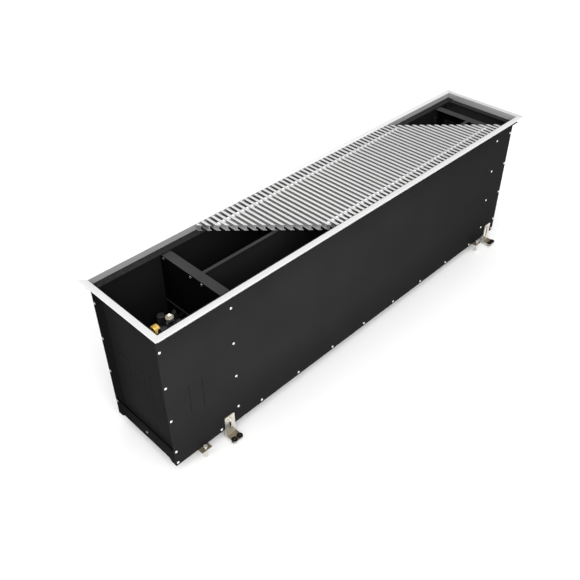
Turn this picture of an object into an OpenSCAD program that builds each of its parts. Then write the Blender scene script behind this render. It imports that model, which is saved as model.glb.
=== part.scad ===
// Trench convector heater: a deep sheet steel casing under an aluminium floor frame,
// with a roll-up grille cut off on the slant at both ends, a finned heat exchanger,
// two valves, levelling bolts and slotted floor brackets.
// +X runs along the heater away from the valves, +Y to its rear side, +Z up.
// The origin lies on the sub-floor, midway between the four levelling bolts' ends.

/* [Casing] */
// Length of the casing
case_l = 1458; // [1300:1:2400]
// Width of the casing
case_w = 250; // [236:1:340]
// Height of the casing from its bottom edge to its top lip
case_h = 434.5; // [400:0.5:600]
// Thickness of the casing's sheet steel
sheet_t = 1.5; // [1:0.1:2]
// Width of the side panels' outward top lip
lip_w = 13.5; // [11:0.5:20]
// How far the lip runs on past each end of the casing
lip_over = 3.5; // [0:0.5:6]
// Width of the side panels' inward bottom flange
foot_flange_w = 17; // [14:0.5:22]
// Width of the rear panel's flange wrapped over each end
wrap_w = 39; // [25:1:60]
// Height of the casing's bottom edge over the sub-floor
floor_gap = 33; // [31:0.5:36]

/* [End plates and bottom pan] */
// Width of the left end plate's inward top flange
left_top_flange_w = 12; // [7:0.5:16]
// Width of the right end plate's inward top flange
right_top_flange_w = 22.5; // [7:0.5:30]
// Width of the end plates' flanges along the side panels
end_side_flange_w = 20; // [14:0.5:30]
// Height of the lower end strip, from its edge to the groove
end_strip_h = 47; // [40:0.5:60]
// Height of the strip's lower edge over the casing's bottom edge
end_notch_h = 11; // [6:0.5:14]
// Width of each corner foot at the bottom
end_foot_w = 17; // [12:0.5:30]
// Height of the pressed groove across each end
groove_h = 6; // [3:0.5:9]
// Depth of that groove
groove_d = 8; // [5:0.5:12]
// Height of the bottom pan over the casing's bottom edge
pan_lift = 21.5; // [19:0.5:24]
// Height of the pan's upturned end flange
pan_end_flange_h = 20; // [16:0.5:24]
// Sideways place of the rivet through each end strip
strip_rivet_y = -9; // [-40:1:40]

/* [Knock-outs] */
// Width of a knock-out for the pipes
knock_w = 40; // [24:1:50]
// Height of a knock-out
knock_h = 112; // [60:1:130]
// Width of the slit round a knock-out
knock_slit = 1.2; // [0.8:0.1:2]
// Length of each bridge that holds a knock-out
knock_bridge = 4; // [2:0.5:8]
// Distance between the knock-outs in the end plates
knock_pitch = 60.5; // [52:0.5:62]
// Sideways place of the middle one of the three
knock_mid_y = -28; // [-32:1:-2]
// Height of the end knock-outs' middle over the casing's bottom edge
knock_end_z = 225; // [180:1:260]
// Distance of the side knock-out's middle from the left end
knock_side_x = 87.5; // [60:0.5:130]
// Height of the side knock-out's middle over the casing's bottom edge
knock_side_z = 189; // [150:1:260]

/* [Partitions and divider] */
// Distance of the left partition from the casing's left end
left_part_x = 199.2; // [180:0.1:260]
// Distance of the right partition from the casing's right end
right_part_x = 72.5; // [55:0.5:110]
// Width of the partitions' flanges and legs
part_flange_w = 28; // [22:0.5:36]
// Drop of the partitions' top below the casing's lip
part_drop = 4; // [2:0.5:8]
// Height of the left partition's plate
left_apron_h = 144.5; // [100:0.5:150]
// Height of the right partition's plate
right_apron_h = 36; // [30:0.5:80]
// Width of the turned edge under the left plate
apron_edge_w = 4; // [2:0.5:6]
// Sideways place of the divider's rear face
divider_y = -6.5; // [-16:0.5:-4]
// Width of the divider's top flange
divider_flange_w = 10; // [8:0.5:20]
// Height of the divider
divider_h = 275; // [200:1:290]
// Reach of the divider's end tabs to each side
divider_tab_w = 28; // [26:0.5:30]
// Distance of the end tabs' middle from the divider's rear face
divider_tab_shift = 9.5; // [0:0.5:14]
// Height of the divider's end tabs
divider_tab_h = 30; // [20:0.5:32]

/* [Floor frame] */
// Overhang of the frame past each side of the casing
frame_over_side = 25; // [24:0.5:30]
// Overhang of the frame past each end of the casing
frame_over_end = 13.5; // [12:0.5:15]
// Width of the frame's top flange
frame_flange_w = 16.5; // [15:0.5:20]
// Thickness of the top flange
frame_flange_t = 2.5; // [2:0.1:4]
// Thickness of the frame's inner wall
frame_wall_t = 2; // [1.5:0.1:2.5]
// Height of the frame from the lip to the floor level
frame_wall_h = 20.5; // [20:0.1:26]
// Width of the frame's leg under the grille
frame_leg_w = 18.7; // [16:0.1:22]
// Thickness of that leg
frame_leg_t = 2; // [1.5:0.1:2.5]
// Thickness of the rubber strip on the leg
strip_t = 1.2; // [0.8:0.1:1.2]
// Length of a corner key's arm
key_arm = 40; // [30:1:60]
// Width of a corner key
key_w = 8; // [6:0.5:9]
// Thickness of a corner key
key_t = 2; // [1.5:0.1:3]

/* [Grille] */
// Height of the grille
grille_h = 17; // [14:0.1:17]
// Pitch of the slats
slat_pitch = 16.85; // [14:0.05:22]
// Width of the slats' flanges
slat_flange_w = 8; // [6:0.1:10]
// Thickness of the slats' flanges
slat_flange_t = 2; // [1.4:0.1:2.4]
// Thickness of the slats' webs
slat_web_t = 2; // [1.4:0.1:3]
// Gap between the slats' ends and the frame
slat_end_gap = 0.8; // [0.5:0.1:2]
// Place of the left cut on the grille's middle line
cut_left = -280.5; // [-400:0.5:-200]
// Place of the right cut on the grille's middle line
cut_right = 513.5; // [300:0.5:520]
// Place of a slat from which the others are counted
slat_ref_x = -401.2; // [-410:0.1:-390]
// Distance of the two spacer rows from the middle line
spacer_row_y = 100.5; // [80:0.5:110]
// Outer diameter of a spacer sleeve
spacer_d = 11; // [8:0.1:11.5]
// Diameter of the grille's through wires
wire_d = 4; // [3:0.1:5]
// Length of wire beyond the last slat
wire_tail = 4; // [2:0.5:6]

/* [Heat exchanger] */
// Distance of the heat exchanger's middle from the casing's rear face
coil_rear = 59; // [57:0.1:62]
// Drop of the upper tubes below the casing's lip
coil_drop = 192.5; // [184:0.5:198]
// Distance between the two tubes of a row
tube_pitch_y = 40; // [38:0.1:43]
// Distance between the two rows of tubes
tube_pitch_z = 43; // [38:0.1:46]
// Height of the return tubes over the supply tubes
tube_stagger = 17; // [0:0.5:20]
// Outer diameter of the copper tubes
tube_d = 15; // [12:0.1:18]
// Wall of the copper tubes
tube_wall = 1; // [0.6:0.1:1.5]
// Width of a fin
fin_w = 100; // [90:1:106]
// Height of a fin
fin_h = 90; // [80:1:96]
// Thickness of a fin
fin_t = 0.5; // [0.3:0.05:0.8]
// Number of the fins
fin_count = 138; // [80:1:200]
// Distance of the fin pack from each partition's flange
fin_end_gap = 14; // [10:0.5:30]
// Thickness of the exchanger's end sheets
end_sheet_t = 1.5; // [1:0.1:2]
// Number of the brackets under the exchanger
shelf_count = 3; // [2:1:5]
// Width of a bracket under the exchanger
shelf_w = 30; // [20:1:50]
// Height of a bracket's leg on the rear panel
shelf_leg_h = 34; // [26:1:60]

/* [Valves] */
// Distance of the valves' spindles from the left partition
valve_x = 48; // [46:0.1:56]
// Length of a valve body from its spindle to the union nut
valve_left_l = 13.5; // [7:0.5:14]
// Length of a valve body from its spindle to the coupling
valve_right_l = 19; // [14:0.5:20]
// Diameter of a valve body
valve_body_d = 22; // [18:0.5:26]
// Width across the flats of the union nuts
union_af = 30; // [27:0.5:32]
// Diameter that a union nut's corners are turned down to
union_round_d = 31.2; // [30.6:0.1:34]
// Length of a union nut
union_l = 17; // [12.6:0.1:24]
// Radius of a union nut's threaded mouth
union_bore_r = 12.1; // [11:0.1:12.3]
// Depth of that mouth
union_bore_l = 8; // [7:0.5:8.5]
// Diameter of the supply valve's cover cap
supply_cap_d = 24; // [18:0.5:26]
// Height of that cap
supply_cap_h = 20; // [14:0.5:26]
// Length of the supply valve's neck under its cap
supply_neck_l = 8; // [7:0.5:16]
// Diameter of the return valve's cap
return_cap_d = 22.5; // [20:0.5:28]
// Height of that cap
return_cap_h = 11; // [9.5:0.5:22]
// Height of that cap's head over its skirt
return_head_h = 5; // [3:0.5:7]
// Diameter of that cap's skirt
return_skirt_d = 16; // [14:0.5:19]
// Length of the return valve's neck under its cap
return_neck_l = 19; // [8:0.5:30]
// Diameter of a valve's spindle
spindle_d = 6; // [4:0.1:8]
// Diameter of the air vent
vent_d = 12; // [9:0.1:13]
// Height of the air vent over its tube's middle
vent_h = 25; // [20:0.5:30]

/* [Levelling bolts and floor brackets] */
// Distance of the left levelling tabs from the left end
left_tab_x = 86.5; // [60:0.5:120]
// Distance of the right levelling tabs from the right end
right_tab_x = 114; // [102:0.5:130]
// Width of a levelling tab
tab_w = 33; // [30:0.5:40]
// Thickness of a levelling tab
tab_t = 2.5; // [2:0.1:4]
// Reach of a levelling tab past the side panel
tab_reach = 17.5; // [17:0.1:24]
// Diameter of the levelling bolts and bracket bolts
bolt_d = 6; // [5.5:0.1:8.4]
// Length of a levelling bolt under its head
level_bolt_l = 40; // [34:0.5:44]
// Distance of a levelling bolt from the side panel
level_bolt_y = 10.4; // [9:0.1:12]
// Distance of the left floor brackets from the left end
left_bracket_x = 178; // [170:0.5:240]
// Distance of the right floor brackets from the right end
right_bracket_x = 43.5; // [35:0.5:60]
// Width of a floor bracket
bracket_w = 33; // [30:0.5:42]
// Thickness of a floor bracket
bracket_t = 3; // [2:0.1:4]
// Height of a floor bracket
bracket_h = 71; // [68:0.5:76]
// Reach of a floor bracket past the side panel
bracket_reach = 36.2; // [32:0.1:45]
// Height of a floor bracket's underside over the sub-floor
bracket_z = 7; // [6:0.5:9]
// Length of the slot in a floor bracket
slot_l = 40; // [36:0.5:46]
// Distance of the slot from the bracket's top edge
slot_top = 9; // [8:0.5:9]
// Height of the bracket bolt over the casing's bottom edge
bracket_bolt_z = 31; // [30.5:0.5:33]
// Distance between a bracket's two rubber bushes
bush_pitch = 18.5; // [17.5:0.5:19]
// Diameter of a rubber bush
bush_d = 17; // [12:0.1:17]
// Height of a rubber bush over the bracket
bush_h = 3.5; // [2:0.1:8]
// Depth of a rubber bush under the bracket
bush_under = 3; // [2:0.1:4]
// Radius of the screw hole through a bush
bush_hole_r = 2.6; // [2:0.1:3]

/* [Rivets] */
// Diameter of a rivet's head
rivet_head_d = 8; // [6:0.1:9]
// Height of a rivet's head
rivet_head_h = 1.9; // [1:0.1:2.5]
// Diameter of a rivet's shank
rivet_d = 4; // [3:0.1:4.5]
// Number of rivets in a column
column_count = 4; // [3:1:6]
// Number of rivets along each side's bottom edge
row_count = 11; // [8:1:16]
// Drop of a column's first rivet below the lip
column_top = 40.7; // [30:0.1:60]
// Height of a column's last rivet over the casing's bottom edge
column_bottom = 51.2; // [46:0.1:60]
// Distance of the end rivets from a panel's edge
rivet_edge = 6.8; // [6:0.1:9]
// Height of the bottom row over the casing's bottom edge
row_z = 9.2; // [8:0.1:11]

/* [Hidden] */
$fn = 48;
// Radial play of a rivet, wire or tube in its hole
play = 0.1;
// Gap between pieces that move past each other
gap = 0.3;
// Overrun of cuts through a wall
over = 1;

frame_l = case_l + 2 * frame_over_end;
frame_w = case_w + 2 * frame_over_side;
x_left = -case_l / 2;
x_right = case_l / 2;
y_front = -case_w / 2;
y_rear = case_w / 2;
z_edge = floor_gap;
z_lip = floor_gap + case_h;
z_top = z_lip + frame_wall_h;
z_pan = z_edge + pan_lift;
z_groove = z_edge + end_notch_h + end_strip_h;
z_part = z_lip - part_drop;
x_lpart = x_left + left_part_x;
x_rpart = x_right - right_part_x;
strip_top = z_lip + frame_leg_t + strip_t;
rivet_grip = 2 * sheet_t;

// Places of the rivets
column_z = [for (i = [0:column_count - 1])
    z_edge + column_bottom
    + i * (case_h - column_top - column_bottom) / (column_count - 1)];
row_x = [for (i = [0:row_count - 1])
    x_left + rivet_edge + i * (case_l - 2 * rivet_edge) / (row_count - 1)];
left_column_x = x_lpart + part_flange_w / 2;
right_column_x = x_rpart - part_flange_w / 2;
wrap_rivet_y = y_rear - rivet_edge + sheet_t;
strip_rivet_z = z_pan + sheet_t + pan_end_flange_h / 2;
part_rivet_z = z_part - rivet_head_d;
part_corner_y = (case_w - part_flange_w) / 2;
divider_rivet_y = divider_tab_w - rivet_edge;
divider_mid_y = divider_y - divider_tab_shift;
part_rivet_ys = [-part_corner_y, divider_mid_y - divider_rivet_y,
    divider_mid_y + divider_rivet_y, part_corner_y];

// Heat exchanger
z_tube_top = z_lip - coil_drop;
z_return = z_tube_top + tube_stagger;
coil_y = y_rear - coil_rear;
y_supply = coil_y + tube_pitch_y / 2;
y_return = coil_y - tube_pitch_y / 2;
z_coil = z_tube_top + (tube_stagger - tube_pitch_z) / 2;
x_fin_left = x_lpart + part_flange_w + fin_end_gap;
x_fin_right = x_rpart - part_flange_w - fin_end_gap;
fin_pitch = (x_fin_right - x_fin_left - fin_t) / (fin_count - 1);
x_bend_left = x_fin_left - fin_end_gap;
x_bend_right = x_fin_right + fin_end_gap;
z_shelf = z_coil - fin_h / 2;

// Valves
x_valve = x_lpart - valve_x;
x_valve_end = x_valve + valve_right_l;
x_valve_mouth = x_valve - valve_left_l;
coupling_l = 14;
coupling_af = 24;
coupling_bore_d = tube_d + 2 * play;
neck_d = valve_body_d * 0.64;
collar_l = 2;
collar_step = 1;
collar_r = union_bore_r - collar_step;
x_tube_start = x_valve_end + coupling_l / 2;
x_vent = (x_valve_end + coupling_l + x_lpart) / 2;
vent_screw_d = vent_d / 2;
vent_screw_h = vent_d / 3;
spindle_l = 8;
cap_wall = 2;
cap_flutes = 18;
cap_flute_d = 2;
cap_slot_w = 2;
cap_slot_d = 1.5;

// Levelling bolts and floor brackets, each mirrored to the rear side
tab_places = [x_left + left_tab_x, x_right - right_tab_x];
bracket_places = [x_left + left_bracket_x, x_right - right_bracket_x];
nut_af = bolt_d * 1.625;
nut_h = bolt_d * 0.8;
head_h = bolt_d * 0.66;
washer_d = bolt_d * 2;
washer_t = bolt_d * 0.2;
bolt_play = 0.05;
tab_rivet_x = tab_w / 4;
tab_rivet_y = foot_flange_w * 0.6;
bracket_corner_r = 4;
bracket_bend_r = 3;
bracket_foot_r = 7;
bush_edge = bush_d / 2;
bush_stem_r = bush_d * 0.28;
bush_low_r = bush_d * 0.47;

// Box between two corners
module block(x0, x1, y0, y1, z0, z1) {
    translate([x0, y0, z0]) cube([x1 - x0, y1 - y0, z1 - z0]);
}

// A piece of the front side, or its mirror image on the rear side
module on_side(rear) {
    if (rear) mirror([0, 1, 0]) children();
    else children();
}

// A piece of the left end, or its mirror image at the right end
module on_end(right) {
    if (right) mirror([1, 0, 0]) children();
    else children();
}

// Domed rivet whose head sits on the plane z = 0 and whose shank goes down
module rivet(grip) {
    dome_r = (pow(rivet_head_d / 2, 2) + pow(rivet_head_h, 2)) / (2 * rivet_head_h);
    rotate_extrude() intersection() {
        translate([0, rivet_head_h - dome_r]) circle(dome_r);
        square([rivet_head_d / 2, rivet_head_h]);
    }
    translate([0, 0, -grip]) cylinder(d = rivet_d, h = grip);
}

module rivet_hole(depth) {
    translate([0, 0, -depth - over]) cylinder(d = rivet_d + 2 * play, h = depth + 2 * over);
}

// Places of all rivets on a side face, as [x, z]
side_rivet_places = concat(
    [for (x = [left_column_x, right_column_x], z = column_z) [x, z]],
    [for (x = row_x) [x, z_edge + row_z]]);
end_column_places = [for (x = [x_left + rivet_edge, x_right - rivet_edge], z = column_z) [x, z]];
shelf_x = [for (i = [0:shelf_count - 1])
    x_fin_left + shelf_w
    + i * (x_fin_right - x_fin_left - 2 * shelf_w) / (shelf_count - 1)];
shelf_rivet_places = [for (x = shelf_x, s = [-1, 1]) [x + s * shelf_w / 4, z_shelf - shelf_leg_h * 0.6]];

// Puts a child, drawn along z, onto the front face with its z pointing out of the heater
module at_front(place) {
    translate([place[0], y_front, place[1]]) rotate([90, 0, 0]) children();
}

// Slits round a knock-out in the x-z plane, cut through a sheet at y = 0 to y = depth
module knock_out(depth, across) {
    half = (knock_h - 3 * knock_bridge) / 2;
    for (s = [-1, 1]) {
        for (u = [-1, 1])
            translate([s * knock_w / 2 - knock_slit / 2, -over, u * (half + knock_bridge) / 2 - half / 2])
                cube([knock_slit, depth + 2 * over, half]);
        if (across)
            translate([-knock_w / 2 + knock_bridge, -over, s * knock_h / 2 - knock_slit / 2])
                cube([knock_w - 2 * knock_bridge, depth + 2 * over, knock_slit]);
    }
}

// Side panel of the front side: web, outward lip and inward bottom flange
module side_panel_shape() {
    block(x_left, x_right, y_front, y_front + sheet_t, z_edge, z_lip);
    block(x_left - lip_over, x_right + lip_over, y_front - lip_w, y_front + sheet_t,
        z_lip - sheet_t, z_lip);
    block(x_left + sheet_t, x_right - sheet_t, y_front, y_front + foot_flange_w,
        z_edge, z_edge + sheet_t);
}

module side_panel_holes() {
    for (p = side_rivet_places) at_front(p) rivet_hole(sheet_t);
    for (x = bracket_places)
        at_front([x, z_edge + bracket_bolt_z])
            translate([0, 0, -sheet_t - over])
                cylinder(d = bolt_d + 2 * play, h = sheet_t + 2 * over);
    for (x = tab_places, s = [-1, 1])
        translate([x + s * tab_rivet_x, y_front + tab_rivet_y, z_edge - over])
            cylinder(d = rivet_d + 2 * play, h = sheet_t + 2 * over);
    translate([x_left + knock_side_x, y_front, z_edge + knock_side_z]) knock_out(sheet_t, false);
}

module front_side_panel() {
    color("#2b2b2b") difference() {
        side_panel_shape();
        side_panel_holes();
        for (p = end_column_places) at_front(p) rivet_hole(sheet_t);
    }
}

// Rear side panel, with a flange wrapped over each end of the casing
module rear_side_panel() {
    color("#2b2b2b") difference() {
        union() {
            mirror([0, 1, 0]) side_panel_shape();
            for (right = [false, true]) on_end(right)
                block(x_left, x_left + sheet_t, y_rear - wrap_w, y_rear,
                    z_groove + groove_h + 2 * sheet_t, z_lip - sheet_t);
        }
        mirror([0, 1, 0]) side_panel_holes();
        for (p = shelf_rivet_places) mirror([0, 1, 0]) at_front(p) rivet_hole(sheet_t);
        for (right = [false, true]) on_end(right) wrap_holes();
    }
}

module wrap_holes() {
    for (z = column_z)
        translate([x_left, wrap_rivet_y, z]) rotate([0, -90, 0]) rivet_hole(2 * sheet_t);
}

// End plate of the left end: top flange, recessed plate, pressed groove and lower strip
module end_plate(top_flange_w) {
    y0 = y_front + sheet_t;
    y1 = y_rear - sheet_t;
    x1 = x_left + sheet_t;
    x2 = x_left + 2 * sheet_t;
    z_shelf_top = z_groove + groove_h;
    difference() {
        union() {
            block(x1, x_left + top_flange_w, y0, y1, z_lip - sheet_t, z_lip);
            block(x1, x2, y0, y1, z_shelf_top, z_lip);
            block(x1, x_left + groove_d, y0, y1, z_shelf_top, z_shelf_top + sheet_t);
            block(x_left + groove_d - sheet_t, x_left + groove_d, y0, y1,
                z_groove - sheet_t, z_shelf_top + sheet_t);
            block(x_left, x_left + groove_d, y0, y1, z_groove - sheet_t, z_groove);
            translate([x_left, 0, 0]) rotate([90, 0, 90]) linear_extrude(sheet_t)
                end_strip_outline(y0, y1);
            for (s = [0, 1])
                block(x1, x_left + end_side_flange_w,
                    s == 0 ? y0 : y1 - sheet_t, s == 0 ? y0 + sheet_t : y1,
                    z_shelf_top + sheet_t, z_lip - sheet_t / 2);
        }
        for (z = column_z) at_front([x_left + rivet_edge, z]) rivet_hole(rivet_grip);
        wrap_holes();
        translate([x_left, strip_rivet_y, strip_rivet_z]) rotate([0, -90, 0]) rivet_hole(sheet_t);
        for (i = [-1:1])
            translate([x1, knock_mid_y + i * knock_pitch, z_edge + knock_end_z])
                rotate([0, 0, -90]) knock_out(sheet_t, true);
    }
}

// Lower strip with a foot at each corner, drawn in y and z
module end_strip_outline(y0, y1) {
    z_notch = z_edge + end_notch_h;
    z_foot = z_edge + sheet_t;
    rise = z_notch - z_foot;
    polygon([
        [y0, z_foot], [y0 + end_foot_w, z_foot], [y0 + end_foot_w + rise, z_notch],
        [y1 - end_foot_w - rise, z_notch], [y1 - end_foot_w, z_foot], [y1, z_foot],
        [y1, z_groove], [y0, z_groove]
    ]);
}

module left_end_plate() {
    color("#262626") end_plate(left_top_flange_w);
}

module right_end_plate() {
    color("#262626") mirror([1, 0, 0]) end_plate(right_top_flange_w);
}

// Bottom pan with its side flanges turned down and its end flanges turned up
module bottom_pan() {
    x0 = x_left + sheet_t;
    x1 = x_right - sheet_t;
    y0 = y_front + sheet_t;
    y1 = y_rear - sheet_t;
    color("#222222") difference() {
        union() {
            block(x0, x1, y0, y1, z_pan, z_pan + sheet_t);
            for (rear = [false, true]) on_side(rear)
                block(x0, x1, y0, y0 + sheet_t, z_edge + sheet_t, z_pan + sheet_t);
            for (right = [false, true]) on_end(right)
                block(x0, x0 + sheet_t, y0 + end_foot_w, y1 - end_foot_w,
                    z_pan, z_pan + sheet_t + pan_end_flange_h);
        }
        for (rear = [false, true], x = row_x) on_side(rear)
            at_front([x, z_edge + row_z]) rivet_hole(rivet_grip);
        for (right = [false, true]) on_end(right)
            translate([x_left, strip_rivet_y, strip_rivet_z]) rotate([0, -90, 0])
                rivet_hole(rivet_grip);
    }
}

// Partition facing the left end: top flange, plate, and a leg along each side panel
module partition(x0, apron_h, edge_w) {
    y0 = y_front + sheet_t;
    y1 = y_rear - sheet_t;
    z0 = z_pan + sheet_t;
    difference() {
        union() {
            block(x0, x0 + part_flange_w, y0, y1, z_part - sheet_t, z_part);
            block(x0, x0 + sheet_t, y0, y1, z_part - apron_h, z_part);
            if (edge_w > 0)
                block(x0 - edge_w, x0 + sheet_t, y0, y1,
                    z_part - apron_h, z_part - apron_h + sheet_t);
            for (rear = [false, true]) on_side(rear) {
                block(x0, x0 + sheet_t, y0, y0 + part_flange_w, z0, z_part);
                block(x0, x0 + part_flange_w, y0, y0 + sheet_t, z0, z_part);
            }
        }
        for (rear = [false, true], z = column_z) on_side(rear)
            at_front([x0 + part_flange_w / 2, z]) rivet_hole(rivet_grip);
        for (y = part_rivet_ys)
            translate([x0, y, part_rivet_z]) rotate([0, -90, 0]) rivet_hole(sheet_t);
    }
}

module left_partition() {
    color("#2e2e2e") partition(x_lpart, left_apron_h, apron_edge_w);
}

module right_partition() {
    color("#2e2e2e") mirror([1, 0, 0]) partition(-x_rpart, right_apron_h, 0);
}

// Divider between the cold air shaft and the warm air shaft
module centre_divider() {
    x0 = x_lpart + sheet_t;
    x1 = x_rpart - sheet_t;
    z1 = z_part - sheet_t;
    y_plate = divider_y - sheet_t;
    color("#2e2e2e") difference() {
        union() {
            block(x0, x1, y_plate, divider_y, z_part - divider_h, z1);
            block(x_lpart + part_flange_w, x_rpart - part_flange_w,
                divider_y - divider_flange_w, divider_y, z1, z_part);
            block(x_lpart + part_flange_w, x_rpart - part_flange_w,
                y_plate, divider_y, z1 - sheet_t, z_part);
            for (x = [x0, x1 - sheet_t])
                block(x, x + sheet_t, divider_mid_y - divider_tab_w, divider_mid_y + divider_tab_w,
                    z1 - divider_tab_h, z1);
        }
        for (x = [x_lpart, x_rpart], s = [-1, 1])
            translate([x - 2 * rivet_grip, divider_mid_y + s * divider_rivet_y, part_rivet_z])
                rotate([0, 90, 0]) cylinder(d = rivet_d + 2 * play, h = 4 * rivet_grip);
    }
}

// Section of a frame rail in y and z: flange, wall and, on the long sides, the grille's leg
module rail_section(leg_w) {
    z0 = z_lip;
    y_wall = frame_flange_w - frame_wall_t;
    polygon(concat(
        [[0, z_top - frame_flange_t], [y_wall, z_top - frame_flange_t], [y_wall, z0]],
        leg_w > 0
            ? [[frame_flange_w + leg_w, z0], [frame_flange_w + leg_w, z0 + frame_leg_t],
                [frame_flange_w, z0 + frame_leg_t]]
            : [[frame_flange_w, z0]],
        [[frame_flange_w, z_top], [0, z_top]]));
}

// Rail drawn from x = 0 to its length with mitred ends, its outer edge on y = 0
module rail(length, leg_w) {
    w = frame_flange_w;
    intersection() {
        translate([length, 0, 0]) rotate([90, 0, -90]) mirror([1, 0, 0])
            linear_extrude(length) rail_section(leg_w);
        translate([0, 0, z_lip - over]) linear_extrude(frame_wall_h + 2 * over)
            polygon([[0, 0], [length, 0], [length - w, w], [length - w, w + leg_w],
                [w, w + leg_w], [w, w]]);
    }
}

module frame_front_rail() {
    color("#e6e6e6") translate([-frame_l / 2, -frame_w / 2, 0]) rail(frame_l, frame_leg_w);
}

module frame_rear_rail() {
    color("#e6e6e6") mirror([0, 1, 0]) translate([-frame_l / 2, -frame_w / 2, 0])
        rail(frame_l, frame_leg_w);
}

module frame_left_rail() {
    color("#dcdcdc") mirror([0, 1, 0]) rotate([0, 0, 90]) mirror([0, 1, 0]) mirror([1, 0, 0])
        translate([-frame_w / 2, -frame_l / 2, 0]) rail(frame_w, 0);
}

module frame_right_rail() {
    color("#dcdcdc") mirror([1, 0, 0]) mirror([0, 1, 0]) rotate([0, 0, 90]) mirror([0, 1, 0])
        mirror([1, 0, 0]) translate([-frame_w / 2, -frame_l / 2, 0]) rail(frame_w, 0);
}

// Steel corner keys under the flange, outside the walls
module frame_corner_keys() {
    z1 = z_top - frame_flange_t;
    inset = (frame_flange_w - frame_wall_t - key_w) / 2;
    color("#a8a8a8") for (rear = [false, true], right = [false, true])
        on_side(rear) on_end(right)
            translate([-frame_l / 2 + inset, -frame_w / 2 + inset, z1 - key_t])
                linear_extrude(key_t) union() {
                    square([key_arm, key_w]);
                    square([key_w, key_arm]);
                }
}

// Rubber strip on each leg, with a lip down over the leg's inner edge
module grille_support_strips() {
    x0 = -frame_l / 2 + frame_flange_w;
    y0 = -frame_w / 2 + frame_flange_w;
    y1 = y0 + frame_leg_w;
    z0 = z_lip + frame_leg_t;
    color("#202020") for (rear = [false, true]) on_side(rear) {
        block(x0, -x0, y0, y1 + strip_t, z0, z0 + strip_t);
        block(x0, -x0, y1, y1 + strip_t, z_lip, z0 + strip_t / 2);
    }
}

// Ends of a slat at the place x: the frame's inside, or the slanted cut
slat_reach = frame_w / 2 - frame_flange_w - slat_end_gap;
function slat_low(x) = max(-slat_reach, cut_left - x);
function slat_high(x) = min(slat_reach, cut_right - x);
slat_first = ceil((cut_left - slat_reach + slat_pitch / 2 - slat_ref_x) / slat_pitch);
slat_last = floor((cut_right + slat_reach - slat_pitch / 2 - slat_ref_x) / slat_pitch);
slat_x = [for (i = [slat_first:slat_last]) slat_ref_x + i * slat_pitch];
function has_row(x, y) = slat_low(x) + slat_flange_w < y && slat_high(x) - slat_flange_w > y;
function row_slats(y) = [for (x = slat_x) if (has_row(x, y)) x];

// One layer of a slat, of width w, with its ends on the cuts
module slat_layer(x, w, z0, h) {
    translate([0, 0, z0]) linear_extrude(h) polygon([
        [x - w / 2, slat_low(x - w / 2)], [x + w / 2, slat_low(x + w / 2)],
        [x + w / 2, slat_high(x + w / 2)], [x - w / 2, slat_high(x - w / 2)]]);
}

module slat(x) {
    z0 = z_top - grille_h;
    difference() {
        union() {
            slat_layer(x, slat_flange_w, z_top - slat_flange_t, slat_flange_t);
            slat_layer(x, slat_flange_w, z0, slat_flange_t);
            slat_layer(x, slat_web_t, z0, grille_h);
        }
        for (y = [-spacer_row_y, spacer_row_y])
            if (has_row(x, y))
                translate([x - slat_web_t, y, z_top - grille_h / 2]) rotate([0, 90, 0])
                    cylinder(d = wire_d + 2 * play, h = 2 * slat_web_t);
    }
}

module grille_slats() {
    color("#e8e8e8") for (x = slat_x) slat(x);
}

module grille_spacers() {
    color("#f0f0f0") for (y = [-spacer_row_y, spacer_row_y]) {
        xs = row_slats(y);
        for (i = [0:len(xs) - 2])
            translate([xs[i] + slat_web_t / 2, y, z_top - grille_h / 2]) rotate([0, 90, 0])
                difference() {
                    cylinder(d = spacer_d, h = slat_pitch - slat_web_t);
                    translate([0, 0, -over])
                        cylinder(d = wire_d + 2 * play, h = slat_pitch + 2 * over);
                }
    }
}

module grille_wires() {
    color("#d0d0d0") for (y = [-spacer_row_y, spacer_row_y]) {
        xs = row_slats(y);
        x0 = xs[0] - slat_web_t / 2 - wire_tail;
        x1 = xs[len(xs) - 1] + slat_web_t / 2 + wire_tail;
        translate([x0, y, z_top - grille_h / 2]) rotate([0, 90, 0])
            cylinder(d = wire_d, h = x1 - x0);
    }
}

// Places of the four tubes, as [y, z]
tube_places = [[y_supply, z_tube_top], [y_return, z_return],
    [y_supply, z_tube_top - tube_pitch_z], [y_return, z_return - tube_pitch_z]];

// Plate across the tubes, drawn along x, with a hole for each tube
module tube_plate(w, h, t) {
    rotate([90, 0, 90]) linear_extrude(t) difference() {
        translate([coil_y - w / 2, z_coil - h / 2]) square([w, h]);
        for (p = tube_places) translate(p) circle(d = tube_d + play);
    }
}

module exchanger_fins() {
    color("#c9ccd0") for (i = [0:fin_count - 1])
        translate([x_fin_left + i * fin_pitch, 0, 0]) tube_plate(fin_w, fin_h, fin_t);
}

module tube(x0, x1, place) {
    translate([x0, place[0], place[1]]) rotate([0, 90, 0]) difference() {
        cylinder(d = tube_d, h = x1 - x0);
        translate([0, 0, -over]) cylinder(d = tube_d - 2 * tube_wall, h = x1 - x0 + 2 * over);
    }
}

module exchanger_tubes() {
    color("#b8683c") {
        for (p = [tube_places[0], tube_places[1]]) tube(x_tube_start, x_bend_right, p);
        for (p = [tube_places[2], tube_places[3]]) tube(x_bend_left, x_bend_right, p);
    }
}

// Half ring of tube in the x-y plane, bulging to +x, between y = -pitch / 2 and pitch / 2
module bend(pitch) {
    rotate([0, 0, -90]) rotate_extrude(angle = 180)
        translate([pitch / 2, 0]) difference() {
            circle(d = tube_d);
            circle(d = tube_d - 2 * tube_wall);
        }
}

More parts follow.
